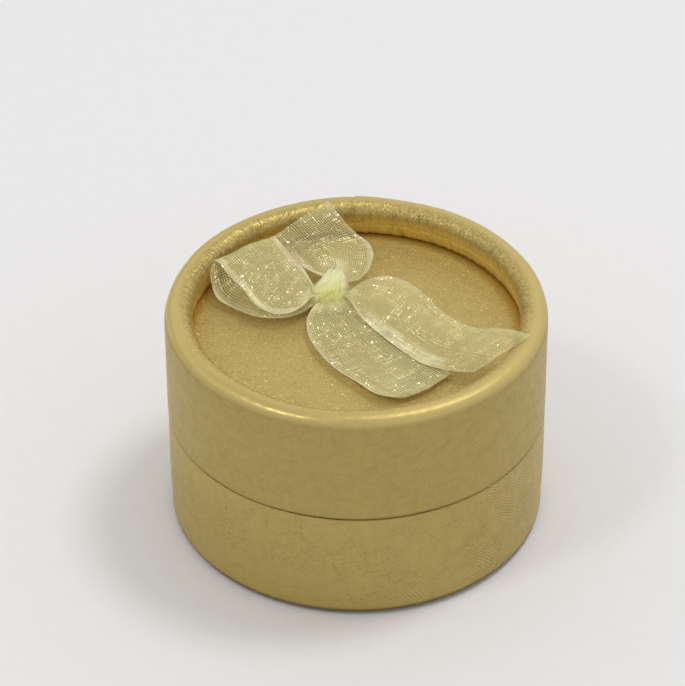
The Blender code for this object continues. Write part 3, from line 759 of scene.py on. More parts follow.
def line(a, b, steps):
    """Points from a to b, without b."""
    return [
        (a[0] + (b[0] - a[0]) * i / steps, a[1] + (b[1] - a[1]) * i / steps)
        for i in range(steps)
    ]


def inset(path, t):
    """The path moved by t to its right-hand side as it runs down at +r."""
    p = np.array(path, float)
    d = np.diff(p, axis=0)
    n = np.stack([-d[:, 1], d[:, 0]], 1) / np.linalg.norm(d, axis=1)[:, None]
    both = np.vstack([n[:1], (n[:-1] + n[1:]) / 2, n[-1:]])
    both /= (both**2).sum(1)[:, None]
    return [tuple(x) for x in p - t * both]


def volume(verts, faces):
    """Six times the signed volume, to find which way the faces look."""
    total = 0.0
    groups = {}
    for f in faces:
        groups.setdefault(len(f), []).append(f)
    for n, fs in groups.items():
        f = np.array(fs)
        a = verts[f[:, 0]]
        for k in range(1, n - 1):
            total += np.einsum("ij,ij->i", a, np.cross(verts[f[:, k]], verts[f[:, k + 1]])).sum()
    return total


def piece(name, verts, faces, mat, uvs=None, smooth=True, sharp=None, cloth=None):
    """An object from points in millimetres. uvs is one (u, v) list for each face corner, and
    cloth, a second map, holds two more numbers for each corner."""
    verts = np.asarray(verts, float)
    if volume(verts, faces) < 0:
        faces = [tuple(reversed(f)) for f in faces]
        if uvs is not None:
            uvs = [list(reversed(u)) for u in uvs]
        if cloth is not None:
            cloth = [list(reversed(u)) for u in cloth]
    mesh = bpy.data.meshes.new(name)
    mesh.from_pydata((verts * MM).tolist(), [], faces)
    for layer_name, corners in (("mm", uvs), ("cloth", cloth)):
        if corners is not None:
            layer = mesh.uv_layers.new(name=layer_name)
            flat = np.array([c for u in corners for c in u], np.float32)
            layer.data.foreach_set("uv", flat.ravel())
    mesh.materials.append(mat)
    if smooth:
        mesh.shade_smooth()
        if sharp:
            mesh.set_sharp_from_angle(angle=math.radians(sharp))
    mesh.update()
    obj = bpy.data.objects.new(name, mesh)
    scene.collection.objects.link(obj)
    return obj


def lathe(name, ring, segments, mat, shape=None, around=LID_R, planar=False, sharp=40):
    """A closed section (r, z) turned about Z. A section that starts and ends on the axis is
    closed there. shape(theta, s, r, z) gives (dr, dz) for every point, s being the length
    along the section. The map runs round at radius `around` and along s, or is the plan."""
    ring = np.array(ring, float)
    polar = ring[0, 0] < 1e-6 and ring[-1, 0] < 1e-6
    s = np.concatenate([[0], np.cumsum(np.linalg.norm(np.diff(ring, axis=0), axis=1))])
    theta = np.arange(segments) / segments * TAU + math.pi / 2
    rows = ring[1:-1] if polar else ring
    rs = s[1:-1] if polar else s
    r = np.repeat(rows[:, :1], segments, 1)
    z = np.repeat(rows[:, 1:], segments, 1)
    if shape is not None:
        dr, dz = shape(theta[None, :], rs[:, None], r, z)
        r, z = r + dr, z + dz
    x, y = r * np.cos(theta), r * np.sin(theta)
    verts = np.stack([x, y, z], -1).reshape(-1, 3)
    k, n = len(rows), segments
    faces, uvs = [], []
    uu = np.arange(n + 1) / n * TAU * around

    def corner(i, j):
        if planar:
            return (float(x[i, j % n]), float(y[i, j % n]))
        return (float(uu[j]), float(rs[i]))

    last = k - 1 if polar else k
    for i in range(last):
        i2 = (i + 1) % k
        v1 = rs[i]
        v2 = rs[i2] if i2 else s[-1] + np.linalg.norm(ring[0] - ring[-1])
        for j in range(n):
            j2 = (j + 1) % n
            faces.append((i * n + j, i * n + j2, i2 * n + j2, i2 * n + j))
            if planar:
                uvs.append([corner(i, j), corner(i, j2), corner(i2, j2), corner(i2, j)])
            else:
                uvs.append(
                    [(uu[j], v1), (uu[j + 1], v1), (uu[j + 1], v2), (uu[j], v2)]
                )
    if polar:
        verts = np.vstack([verts, [0, 0, ring[0, 1]], [0, 0, ring[-1, 1]]])
        top, low = len(verts) - 2, len(verts) - 1
        for j in range(n):
            j2 = (j + 1) % n
            faces.append((top, j2, j))
            faces.append((low, (k - 1) * n + j, (k - 1) * n + j2))
            if planar:
                uvs.append([(0.0, 0.0), corner(0, j2), corner(0, j)])
                uvs.append([(0.0, 0.0), corner(k - 1, j), corner(k - 1, j2)])
            else:
                uvs.append([(uu[j], 0.0), (uu[j + 1], rs[0]), (uu[j], rs[0])])
                uvs.append([(uu[j], s[-1]), (uu[j], rs[-1]), (uu[j + 1], rs[-1])])
    return piece(name, verts, faces, mat, uvs, sharp=sharp)


dice = np.random.RandomState(7)


def waves(count, low, high, seed):
    """A smooth random function of the angle, about -1 to 1, made of `count` whole waves."""
    rng = np.random.RandomState(seed)
    k = rng.randint(low, high + 1, count)
    p = rng.uniform(0, TAU, count)
    a = rng.uniform(0.5, 1, count)
    a /= np.sqrt((a**2).sum() / 2) * 1.4

    def f(theta):
        return sum(a[i] * np.cos(k[i] * theta + p[i]) for i in range(count))

    return f


def smooth01(x):
    x = np.clip(x, 0, 1)
    return x * x * (3 - 2 * x)


# ----------------------------------------------------------- paper of the lid
curl_low = DISC_Z + 0.2
path = line((24.02, curl_low), (23.58, RIM_CZ - 1.1), 9)
path += arc(RIM_CR, RIM_CZ, RIM_R, 213.4, 0, 40)[1:]
inner_end = 1.75  # where the curl's flat inside face turns into the roll
wall_at = len(path)
path += line((LID_R, RIM_CZ), (LID_R, LID_LOW + EDGE), 18)[1:]
path += arc(LID_R - EDGE, LID_LOW + EDGE, EDGE, 0, -90, 6)
path += [(25.65, LID_LOW)]
back = inset(path, PAPER)
back = [back[0], *back[3:9:3], *back[9:wall_at:4], *back[wall_at + 2 : -8 : 4], *back[-7:-2:3], back[-1]]
lid_ring = path + list(reversed(back))
outer_count = len(path)

creases = []
for _ in range(120):
    creases.append(
        (
            dice.uniform(0, TAU),  # angle
            dice.uniform(0.12, 0.34),  # half width, mm
            dice.uniform(0.015, 0.06),  # depth, mm
            dice.uniform(1.6, 4.6),  # how far up the curl it runs, mm
            dice.uniform(-0.10, 0.10),  # slant, mm per mm
        )
    )
# Longer folds where the paper was gathered most
for angle, half, depth, reach, slant in (
    (54.1, 0.30, 0.14, 3.4, 0.12),
    (107.1, 0.26, 0.12, 4.4, -0.10),
    (85.0, 0.20, 0.09, 2.8, 0.05),
    (136.2, 0.24, 0.10, 4.0, 0.08),
    (36.0, 0.22, 0.09, 3.0, -0.05),
    (163.0, 0.22, 0.08, 3.2, 0.06),
    (201.0, 0.24, 0.09, 3.0, 0.04),
    (248.0, 0.24, 0.10, 3.4, -0.08),
    (295.0, 0.22, 0.08, 3.0, 0.06),
    (338.0, 0.24, 0.10, 3.2, 0.05),
):
    creases.append((math.radians(angle), half, depth, reach, slant))
wobble = waves(9, 3, 11, 1)
ripple = waves(22, 24, 90, 2)
rim_ripple = waves(26, 40, 150, 3)


def lap(theta, width=7.0, step=0.12):
    """The paper's overlap at the back: it climbs slowly and drops at the end."""
    along = ((theta - math.pi / 2 + math.pi) % TAU - math.pi) * LID_R
    climb = smooth01((along + width) / width) * (along < 0)
    drop = smooth01(1 - along / 0.25) * (along >= 0)
    return step * (climb + drop)


def lid_shape(theta, s, r, z):
    count = s.shape[0]
    dr, dz = np.zeros_like(r), np.zeros_like(r)
    # How the surface faces, from the section itself
    ring = np.array(lid_ring)
    d = np.roll(ring, -1, 0) - np.roll(ring, 1, 0)
    n = np.stack([-d[:, 1], d[:, 0]], 1)
    n /= np.linalg.norm(n, axis=1)[:, None]
    nr, nz = n[:, :1], n[:, 1:]
    front = (np.arange(count) < outer_count)[:, None].astype(float)
    push = np.zeros_like(r)
    mm_at = 24.0
    for angle, half, depth, reach, slant in creases:
        gap = (theta - angle + math.pi) % TAU - math.pi
        gap = gap * mm_at - slant * s
        fade = smooth01((reach - s) / (reach * 0.6))
        push -= depth * np.exp(-((gap / half) ** 2)) * fade
        push += 0.35 * depth * np.exp(-(((gap - 1.6 * half) / half) ** 2)) * fade
    inside = smooth01((6.5 - s) / 4.5)
    push += 0.035 * ripple(theta + 0.004 * s) * inside
    push += 0.022 * rim_ripple(theta + 0.002 * s) * smooth01((7.5 - s) / 4.0)
    # The wall isn't quite round, and the curl isn't quite even
    wall = smooth01((s - 5.0) / 3.0)
    push += 0.04 * wobble(theta + 0.01 * s) * wall
    push += 0.012 * ripple(theta * 0.999 + 0.02 * s) * wall * smooth01((10.5 - s) / 4.0)
    push += 0.05 * np.exp(-(((s - 7.5) / 0.7) ** 2)) - 0.08 * np.exp(-(((s - 8.75) / 0.42) ** 2))
    push *= front
    push = np.minimum(push, 0.09)
    push = push + lap(theta) * smooth01((s - 5.5) / 2.0) * front
    dz += 0.05 * wobble(theta * 1.0 + 1.3) * smooth01((s - 2.0) / 3.0) * smooth01((9.0 - s) / 3.0) * front * -abs(nz)
    low_edge = 0.035 * ripple(theta) * smooth01((s - (s[outer_count - 1] - 2.2)) / 1.6) * front
    return push * nr * 1.0, push * nz + dz + low_edge * 0.5


lid_skin = lathe("lid_skin", lid_ring, 960, lid_paper, lid_shape)
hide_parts("lid_wrap")
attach(lid_skin, "lid")

# ---------------------------------------------------------- paper of the base
path = [(25.55, BASE_TOP), (26.3, BASE_TOP)]
path += arc(BASE_R - EDGE, BASE_TOP - EDGE, EDGE, 90, 0, 7)
path += line((BASE_R, BASE_TOP - EDGE), (BASE_R, 1.1), 18)[1:]
path += arc(BASE_R - 0.9, 1.1, 0.9, 0, -90, 10)
path += [(26.25, 0.21), (26.0, 0.3), (25.0, 0.4), (24.0, 0.4), (22.5, 0.4)]
base_outer = len(path)
back = inset(path, PAPER)
base_ring = path + list(reversed([back[0], *back[2:9:3], *back[11:-16:5], *back[-16:-5:3], *back[-4:]]))
base_wobble = waves(9, 3, 11, 11)
base_ripple = waves(24, 60, 160, 12)


def base_shape(theta, s, r, z):
    ring = np.array(base_ring)
    d = np.roll(ring, -1, 0) - np.roll(ring, 1, 0)
    n = np.stack([-d[:, 1], d[:, 0]], 1)
    n /= np.linalg.norm(n, axis=1)[:, None]
    front = (np.arange(len(s)) < base_outer)[:, None].astype(float)
    wall = smooth01((s - 1.8) / 1.0) * smooth01((18.8 - s) / 1.0)
    push = 0.035 * base_wobble(theta + 0.012 * s) * wall
    push += lap(theta - 0.09) * wall
    push -= 0.2 * smooth01((s - 8.5) / 10.0) ** 2 * smooth01((22.0 - s) / 2.0)
    # Pleats where the paper turns in under the foot
    under = smooth01((s - 19.0) / 1.2) * smooth01((23.5 - s) / 2.0)
    push += 0.045 * (base_ripple(theta) - 1.0) * under
    push *= front
    return push * n[:, :1], push * n[:, 1:]


base_skin = lathe("base_skin", base_ring, 960, wall_paper, base_shape, around=BASE_R)
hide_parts("base_wrap")
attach(base_skin, "base")


# ------------------------------------------------------------- boards, plates
def plate(name, radius, low, high, segments, mat, rings=10, ease=0.06, shape=None):
    """A thin round plate with eased edges, its map the plan."""
    flat = radius - ease
    top = [(flat * i / rings, high) for i in range(rings)]
    side = arc(flat, high - ease, ease, 90, 0, 3) + arc(flat, low + ease, ease, 0, -90, 3)
    bottom = [(flat * (rings - 1 - i) / rings, low) for i in range(rings)]
    return lathe(name, top + side + bottom, segments, mat, shape, planar=True, sharp=50)


off = PAPER + GLUE
board_low, board_top = 0.4 + off, BASE_TOP - off
base_board = lathe(
    "base_board",
    [(25.4, board_top - 0.1), (25.5, board_top), (26.8, board_top), (26.9, board_top - 0.1)]
    + line((26.9, board_top - 0.1), (26.9, board_low + 0.4), 3)[1:]
    + arc(26.5, board_low + 0.4, 0.4, 0, -90, 4)
    + [(25.4, board_low)],
    192,
    grey_board,
)
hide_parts("base_tube")
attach(base_board, "base")

base_floor = plate("base_floor", 25.2, board_low, board_low + 1.2, 192, grey_board)
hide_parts("base_disc")
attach(base_floor, "base")

swell = waves(7, 2, 7, 21)


def underside_shape(theta, s, r, z):
    low = (z < 0.12).astype(float)
    lift = np.maximum(1 + swell(theta + 0.05 * r), 0.0)
    return np.zeros_like(r), 0.03 * lift * low * smooth01((25.2 - r) / 5)


underside = plate(
    "underside_paper", 25.9, 0.0, 0.25, 256, under_paper, rings=16, shape=underside_shape
)
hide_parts("base_underside_paper")
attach(underside, "base")

neck_path = line((NECK_IN_R, 12.4), (NECK_IN_R, NECK_TOP - 0.35), 8)
neck_path += arc(NECK_IN_R + 0.35, NECK_TOP - 0.35, 0.35, 180, 90, 5)
neck_path += arc(NECK_R - 0.35, NECK_TOP - 0.35, 0.35, 90, 0, 5)
neck_path += line((NECK_R, NECK_TOP - 0.35), (NECK_R, NECK_LOW), 12)[1:] + [(NECK_R, NECK_LOW)]
neck_back = inset(neck_path, 0.25)
neck_wave = waves(9, 3, 9, 31)


def neck_shape(theta, s, r, z):
    top = smooth01((z - 22) / 4)
    return 0.02 * neck_wave(theta) * top, 0.03 * (neck_wave(theta + 2) - 1) * top


neck_skin = lathe(
    "neck_skin", neck_path + list(reversed(neck_back)), 384, neck_cover, neck_shape, around=25.2
)
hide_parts("neck_paper")
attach(neck_skin, "base")

neck_board = lathe(
    "neck_core",
    [(23.9, 25.35), (24.0, 25.45), (24.65, 25.45), (24.75, 25.35)]
    + line((24.75, 25.35), (24.75, NECK_LOW + 0.1), 4)[1:]
    + [(24.75, NECK_LOW + 0.1), (24.65, NECK_LOW), (24.0, NECK_LOW), (23.9, NECK_LOW + 0.1)]
    + line((23.9, NECK_LOW + 0.1), (23.9, 25.35), 4)[1:],
    192,
    pale_board,
)
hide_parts("neck_tube")
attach(neck_board, "base")

lid_core = [(25.5, curl_low + 0.35), (25.4, curl_low + 0.25), (24.8, curl_low + 0.25)]
lid_core += [(24.7, curl_low + 0.35)] + line((24.68, curl_low + 0.4), (24.08, RIM_CZ - 1.1), 4)
lid_core += arc(RIM_CR, RIM_CZ, RIM_R - off, 200, 0, 20)
lid_core += line((LID_R - off, RIM_CZ), (LID_R - off, LID_LOW + off), 5)[1:]
lid_core += [(26.95, LID_LOW + off + 0.06), (26.9, LID_LOW + off), (25.6, LID_LOW + off)]
lid_core += [(25.5, LID_LOW + off + 0.1)]
lid_core += line((25.5, LID_LOW + off + 0.1), (25.5, curl_low + 0.35), 6)[1:]
lid_board = lathe("lid_board", lid_core, 256, grey_board)
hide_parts("lid_tube")
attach(lid_board, "lid")

disc_high = DISC_Z - PAPER - 0.15
disc_low = disc_high - 1.15
lid_plate = plate("lid_plate", DISC_R, disc_low, disc_high, 192, grey_board)
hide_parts("lid_disc")
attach(lid_plate, "lid")

dish = waves(8, 1, 5, 41)


def disc_shape(theta, s, r, z):
    """The face sags a little between the glue and the edge."""
    hollow = 0.05 * np.cos(r / DISC_R * math.pi) * 0.5 - 0.03
    uneven = 0.02 * dish(theta + 0.1 * r) * smooth01(r / 8)
    return np.zeros_like(r), (hollow + uneven) * (z > DISC_Z - 0.15)


disc_face = plate(
    "disc_face", DISC_R, DISC_Z - PAPER, DISC_Z, 384, disc_paper, rings=44, shape=disc_shape
)
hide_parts("lid_top_paper")
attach(disc_face, "lid")

ceiling = plate(
    "ceiling_lining", DISC_R, disc_low - 0.4, disc_low - 0.15, 256, lining, rings=14
)
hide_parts("lid_ceiling_paper")
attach(ceiling, "lid")

# ------------------------------------------------------------------- ring pad
SLIT_HALF_L, SLIT_HALF_W, SLIT_LOW = 9.2, 0.85, PAD_EDGE_Z + PAD_CROWN - 8.9


def pad_top(r):
    flat = PAD_R - 1.2
    return PAD_EDGE_Z + PAD_CROWN * (1 - np.minimum(r / flat, 1) ** 2)


def slit_pad(name, mat):
    """The covered pad: a crowned round top that rolls into a slit which nearly closes below,
    a rounded shoulder, and a skirt that ends over the foam."""
    n = 320
    nu = np.arange(n) / n * TAU
    rng = waves(10, 3, 14, 51)
    rows = []

    def lens(grow, close=1.0):
        """The slit's outline, grown outwards by `grow` mm."""
        x = (SLIT_HALF_L + grow) * np.cos(nu)
        y = (SLIT_HALF_W * close + grow) * np.sin(nu) * (0.55 + 0.45 * np.abs(np.sin(nu)))
        return x, y

    # Up the inside of the slit from its floor, over the lip, then out to the shoulder
    top = PAD_EDGE_Z + PAD_CROWN
    for t in np.linspace(0, 1, 12):
        z = SLIT_LOW + (top - 0.75 - SLIT_LOW) * t
        close = 0.25 + 0.55 * smooth01((t - 0.35) / 0.65) + 0.2 * smooth01((0.2 - t) / 0.2)
        x, y = lens(-0.0, close)
        rows.append((x, y, np.full(n, z)))
    for a in np.radians([15, 35, 55, 75, 90]):
        x, y = lens(0.75 * (1 - math.cos(a)), 0.8 + 0.2 * math.sin(a))
        r = np.hypot(x, y)
        rows.append((x, y, pad_top(r) - 0.75 * (1 - math.sin(a))))
    lip_x, lip_y = lens(0.75)
    flat = PAD_R - 1.2
    for t in np.linspace(0, 1, 34)[1:]:
        x = lip_x + (flat * np.cos(nu) - lip_x) * t
        y = lip_y + (flat * np.sin(nu) - lip_y) * t
        r = np.hypot(x, y)
        bed = 0.16 * np.exp(-((np.abs(y) - np.abs(lip_y)) / 1.6) ** 2) * (np.abs(x) < 9)
        dimple = 0.05 * rng(nu * 1.0 + t * 2.0) * math.sin(math.pi * t)
        rows.append((x, y, pad_top(r) + dimple - 0.3 * bed))
    for a in np.radians(np.linspace(90, 0, 9)[1:]):
        r = flat + 1.2 * math.cos(a)
        rows.append(
            (r * np.cos(nu), r * np.sin(nu), np.full(n, PAD_EDGE_Z - 1.2 + 1.2 * math.sin(a)))
        )
    for z in np.linspace(PAD_EDGE_Z - 1.2, 9.0, 10)[1:]:
        r = PAD_R - 0.03 * (1 + rng(nu + z * 0.3))
        rows.append((r * np.cos(nu), r * np.sin(nu), np.full(n, z)))
    # The cut edge of the cover and a plain underside just inside it
    r = PAD_R - 0.5
    rows.append((r * np.cos(nu), r * np.sin(nu), np.full(n, 9.0)))
    rows.append((r * np.cos(nu), r * np.sin(nu), np.full(n, 12.0)))
    k = len(rows)
    verts = np.stack([np.stack(row, -1) for row in rows]).reshape(-1, 3)
    faces = []
    for i in range(k - 1):
        for j in range(n):
            j2 = (j + 1) % n
            faces.append((i * n + j, i * n + j2, (i + 1) * n + j2, (i + 1) * n + j))
    # Close the slit's floor and the underside
    floor_z, under_z = verts[0, 2], verts[-1, 2]
    verts = np.vstack([verts, [0, 0, floor_z], [0, 0, min(under_z, floor_z - 0.4)]])
    a, b = len(verts) - 2, len(verts) - 1
    for j in range(n):
        j2 = (j + 1) % n
        faces.append((a, j2, j))
        faces.append((b, (k - 1) * n + j, (k - 1) * n + j2))
    return piece(name, verts, faces, mat, sharp=60)


velour_pad = slit_pad("velour_pad", velour_look)
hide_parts("velour_cover")
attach(velour_pad, "ring_insert")

foam_r, foam_low = 22.4, NECK_LOW + 0.1
foam_wave = waves(10, 3, 20, 61)


def foam_shape(theta, s, r, z):
    side = (r > 20).astype(float)
    return -0.05 * (1 + foam_wave(theta + 0.4 * z)) * side, np.zeros_like(z)


foam = lathe(
    "foam_core",
    [(0.0, 11.4), (10.0, 11.4), (20.0, 11.4), (foam_r - 0.3, 11.4), (foam_r, 11.2)]
    + line((foam_r, 11.2), (foam_r, foam_low + 0.2), 14)[1:]
    + [(foam_r, foam_low + 0.2), (foam_r - 0.2, foam_low), (20.0, foam_low), (10.0, foam_low), (0.0, foam_low)],
    256,
    foam_look,
    foam_shape,
)
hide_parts("foam_pad")
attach(foam, "ring_insert")

# ------------------------------------------------------------------------ bow
PLAN_Z, EYE = 31.0, (-2.03, -439.0, 363.9)


def lifted(x, y, z):
    """A point seen at (x, y) on the plan, moved along the line of sight to height z."""
    s = (z - PLAN_Z) / (EYE[2] - PLAN_Z)
    return np.array([x + s * (EYE[0] - x), y + s * (EYE[1] - y), z])


def smooth_line(points, count):
    """count points along a centripetal Catmull-Rom curve, evenly spaced by length."""
    p = [points[0] * 2 - points[1], *points, points[-1] * 2 - points[-2]]
    fine = []
    for i in range(1, len(p) - 2):
        a, b, c, d = p[i - 1], p[i], p[i + 1], p[i + 2]
        t0 = 0.0
        t1 = t0 + max(np.linalg.norm(b - a), 1e-6) ** 0.5
        t2 = t1 + max(np.linalg.norm(c - b), 1e-6) ** 0.5
        t3 = t2 + max(np.linalg.norm(d - c), 1e-6) ** 0.5
        for k in range(16):
            t = t1 + (t2 - t1) * k / 16
            a1 = a * ((t1 - t) / (t1 - t0)) + b * ((t - t0) / (t1 - t0))
            a2 = b * ((t2 - t) / (t2 - t1)) + c * ((t - t1) / (t2 - t1))
            a3 = c * ((t3 - t) / (t3 - t2)) + d * ((t - t2) / (t3 - t2))
            b1 = a1 * ((t2 - t) / (t2 - t0)) + a2 * ((t - t0) / (t2 - t0))
            b2 = a2 * ((t3 - t) / (t3 - t1)) + a3 * ((t - t1) / (t3 - t1))
            fine.append(b1 * ((t2 - t) / (t2 - t1)) + b2 * ((t - t1) / (t2 - t1)))
    fine.append(points[-1])
    fine = np.array(fine)
    step = np.linalg.norm(np.diff(fine, axis=0), axis=1)
    along = np.concatenate([[0], np.cumsum(step)])
    want = np.linspace(0, along[-1], count)
    return np.stack([np.interp(want, along, fine[:, k]) for k in range(3)], 1), along[-1]


def thin_sheet(name, grid, uv, extra, mat, thick, edge_thick, half_edge=0.5):
    """A closed thin sheet round a grid of points: (rows along, columns across, 3)."""
    rows, cols, _ = grid.shape
    du = np.gradient(grid, axis=0)
    dw = np.gradient(grid, axis=1)
    n = np.cross(du, dw)
    n /= np.maximum(np.linalg.norm(n, axis=2), 1e-9)[..., None]
    from_edge = np.minimum(uv[..., 0], RIBBON_W - uv[..., 0])
    t = thick + (edge_thick - thick) * smooth01((half_edge - from_edge) / (half_edge * 0.4))
    t = t * (0.45 + 0.55 * smooth01(from_edge / 0.12))
    up, down = grid + n * t[..., None] / 2, grid - n * t[..., None] / 2
    verts = np.concatenate([up.reshape(-1, 3), down.reshape(-1, 3)])
    m = rows * cols
    faces, corners = [], []

    for i in range(rows - 1):
        for j in range(cols - 1):
            a, b, c, d = i * cols + j, i * cols + j + 1, (i + 1) * cols + j + 1, (i + 1) * cols + j
            faces.append((a, b, c, d))
            corners.append((a, b, c, d))
            faces.append((m + d, m + c, m + b, m + a))
            corners.append((d, c, b, a))
    edge = (
        [(0, j) for j in range(cols - 1)]
        + [(i, cols - 1) for i in range(rows - 1)]
        + [(rows - 1, j) for j in range(cols - 1, 0, -1)]
        + [(i, 0) for i in range(rows - 1, 0, -1)]
    )
    for k, (i, j) in enumerate(edge):
        i2, j2 = edge[(k + 1) % len(edge)]
        a, b = i * cols + j, i2 * cols + j2
        faces.append((b, a, m + a, m + b))
        corners.append((b, a, a, b))
    uv, extra = uv.reshape(-1, 2).tolist(), extra.reshape(-1, 2).tolist()
    uvs = [[uv[k] for k in c] for c in corners]
    cloth = [[extra[k] for k in c] for c in corners]
    return piece(name, verts, faces, mat, uvs, sharp=70, cloth=cloth)


def ribbon(
    name,
    left,
    right,
    along,
    gathers,
    arch=0.0,
    folds=7,
    reach=5.5,
    seed=0,
    shine=(),
    clear=(),
    bulge=(0.0, 0.0),
    hems=(),
):
    """Ribbon lofted between its selvages, given as (x, y, z) on the plan. It is gathered
    into pleats near the ends named in gathers ("start", "end"), more where it is narrower.
    shine lists the places (x, y, radius, amount) on the plan where its flecks face the light,
    where there are more of them, and where on the selvages they are painted whiter, a painted
    highlight; clear lists those where the cloth is drawn thin. bulge moves the middle of a loop's fold.
    hems lists the stretches (side, from, to, width, amount) where a selvage is turned over
    or lies double: side is 0 or 1, and from and to are parts of the length."""
    across = 72
    rng = np.random.RandomState(seed)
    a, length_a = smooth_line([lifted(*p) for p in left], along + 1)
    b, length_b = smooth_line([lifted(*p) for p in right], along + 1)
    length = (length_a + length_b) / 2
    w = np.linspace(0, 1, across + 1)
    u = np.linspace(0, 1, along + 1)
    grid = a[:, None, :] * (1 - w)[None, :, None] + b[:, None, :] * w[None, :, None]
    du, dw = np.gradient(grid, axis=0), np.gradient(grid, axis=1)
    n = np.cross(du, dw)
    n /= np.maximum(np.linalg.norm(n, axis=2), 1e-9)[..., None]
    steep = smooth01((0.85 - np.abs(n[..., 2])) / 0.6)
    lift = 4 * w * (1 - w)
    end = np.exp(-(((u - 0.5) * length / 2.2) ** 2))
    grid[..., 0] += bulge[0] * lift[None, :] * end[:, None]
    grid[..., 1] += bulge[1] * lift[None, :] * end[:, None]
    grid[..., 2] += arch * lift[None, :] * np.sin(math.pi * u)[:, None]
    width = np.linalg.norm(b - a, axis=1)
    s = u * length
    d = np.zeros(along + 1)
    if "start" in gathers:
        d = np.maximum(d, smooth01((reach - s) / reach))
    if "end" in gathers:
        d = np.maximum(d, smooth01((reach - (length - s)) / reach))
    ratio = np.clip(RIBBON_W / np.maximum(width, 1.2), 1.0, 4.5)
    amp = width / (TAU * folds) * np.sqrt(2 * (ratio**2 - 1)) * d * 0.9
    amp = np.minimum(amp, 0.36)
    # Pleats of uneven width and height that wander a little and fade out one by one
    phase, side = rng.uniform(0, TAU, 3), rng.uniform(0.7, 1.3, 4)
    bend = 0.30 * np.sin(TAU * w + phase[0]) + 0.16 * np.sin(TAU * 2.3 * w + phase[1])
    drift = 0.5 * np.sin(TAU * s / 9.0 + phase[2])
    turn = TAU * folds * w[None, :] + 3 * bend[None, :] + drift[:, None]
    tall = 0.65 + 0.35 * np.sin(TAU * 1.7 * side[0] * w + phase[1])
    late = np.clip(d[:, None] * (1.0 + 0.6 * np.sin(TAU * 1.3 * side[1] * w + phase[2])[None, :]), 0, 1)
    pleat = (np.sin(turn) + 0.35 * np.sin(2.1 * turn + phase[1])) * tall[None, :] * late
    hold = smooth01(np.minimum(w, 1 - w) / 0.04)
    grid += n * (amp[:, None] * pleat * (0.4 + 0.6 * hold)[None, :])[..., None]
    # Soft unevenness all over
    for _ in range(9):
        kx, ky = rng.uniform(0.3, 2.4), rng.uniform(0.08, 0.55)
        ph = rng.uniform(0, TAU)
        grid += n * (
            0.035
            * np.sin(TAU * (kx * w[None, :] + ky * s[:, None] / 4) + ph)[..., None]
        )
    # Finer creases that follow the threads
    for _ in range(5):
        kx, ky = rng.uniform(4.0, 8.0), rng.uniform(0.02, 0.12)
        ph = rng.uniform(0, TAU)
        grid += n * (
            0.012
            * np.sin(TAU * (kx * w[None, :] + ky * s[:, None]) + ph)[..., None]
        )
    uv = np.zeros((along + 1, across + 1, 2))
    uv[..., 0] = w[None, :] * RIBBON_W
    uv[..., 1] = s[:, None]
    extra = np.zeros_like(uv)
    drawn = d * np.clip(1 - width / 8.0, 0, 1)
    extra[..., 0] = np.clip(steep + 0.9 * drawn[:, None], 0, 1)
    back = (grid[..., 2:] - PLAN_Z) / (EYE[2] - PLAN_Z)
    plan = (grid - back * np.array(EYE)) / (1 - back)
    for places, k, sign in ((shine, 1, 1.0), (clear, 0, -1.0)):
        for x, y, radius, amount in places:
            far = ((plan[..., 0] - x) ** 2 + (plan[..., 1] - y) ** 2) / radius**2
            extra[..., k] += sign * amount * np.exp(-far)
    for side, u1, u2, reach_in, amount in hems:
        off = (w if side == 0 else 1 - w) * RIBBON_W
        on = smooth01((u - u1) / 0.06 + 0.5) * smooth01((u2 - u) / 0.06 + 0.5)
        extra[..., 0] += amount * on[:, None] * smooth01((reach_in - off) / 0.3)[None, :]
    extra = np.clip(extra, -1, 1)
    obj = thin_sheet(name, grid, uv, extra, ribbon_look, 0.05, 0.055)
    return obj, length


loops = {}
loops["left"] = ribbon(
    "ribbon_left_loop",
    [
        (-4.6, 6.6, 32.2),
        (-6.3, 5.3, 31.9),
        (-7.6, 3.9, 31.4),
        (-9.2, 2.8, 31.15),
        (-11.4, 2.2, 31.1),
        (-14.2, 2.6, 31.15),
        (-17.4, 4.5, 31.35),
        (-20.2, 7.1, 31.8),
        (-21.1, 10.6, 32.9),
        (-21.4, 14.6, 34.1),
        (-21.2, 16.2, 34.6),
        (-20.4, 16.1, 34.9),
        (-18.6, 12.7, 35.0),
        (-16.5, 9.3, 34.7),
        (-15.0, 6.3, 34.1),
        (-13.5, 4.5, 33.5),
        (-11.6, 3.5, 33.1),
        (-9.5, 3.7, 32.9),
        (-7.8, 5.1, 32.9),
        (-6.3, 7.4, 33.1),
        (-4.6, 8.4, 33.1),
    ],
    [
        (-4.6, 9.4, 32.4),
        (-6.3, 9.8, 32.2),
        (-7.1, 12.0, 32.4),
        (-8.6, 15.0, 32.7),
        (-10.3, 18.2, 33.1),
        (-11.8, 20.8, 33.6),
        (-12.4, 22.0, 34.2),
        (-12.2, 22.4, 34.6),
        (-11.6, 21.7, 34.9),
        (-10.2, 19.1, 35.0),
        (-8.8, 16.4, 34.8),
        (-7.6, 14.0, 34.4),
        (-6.6, 11.4, 33.7),
        (-6.0, 9.9, 33.3),
        (-4.6, 9.6, 33.1),
    ],
    220,
    ("start", "end"),
    arch=0.25,
    seed=3,
    clear=((-19.5, 13.0, 2.4, 0.3), (-7.2, 6.6, 1.4, -0.7), (-6.0, 8.2, 1.3, -0.75)),
    hems=((0, 0.5, 0.9, 1.1, 0.5), (1, 0.5, 0.97, 1.0, 0.45), (0, 0.06, 0.42, 0.5, 0.4)),
    shine=((-15.2, 12.3, 2.4, 0.9), (-10.4, 6.4, 1.6, 0.8), (-9.6, 15.5, 1.5, 0.8), (-20.3, 11.4, 1.6, 0.8), (-17.5, 10.5, 1.2, 0.8)),
)
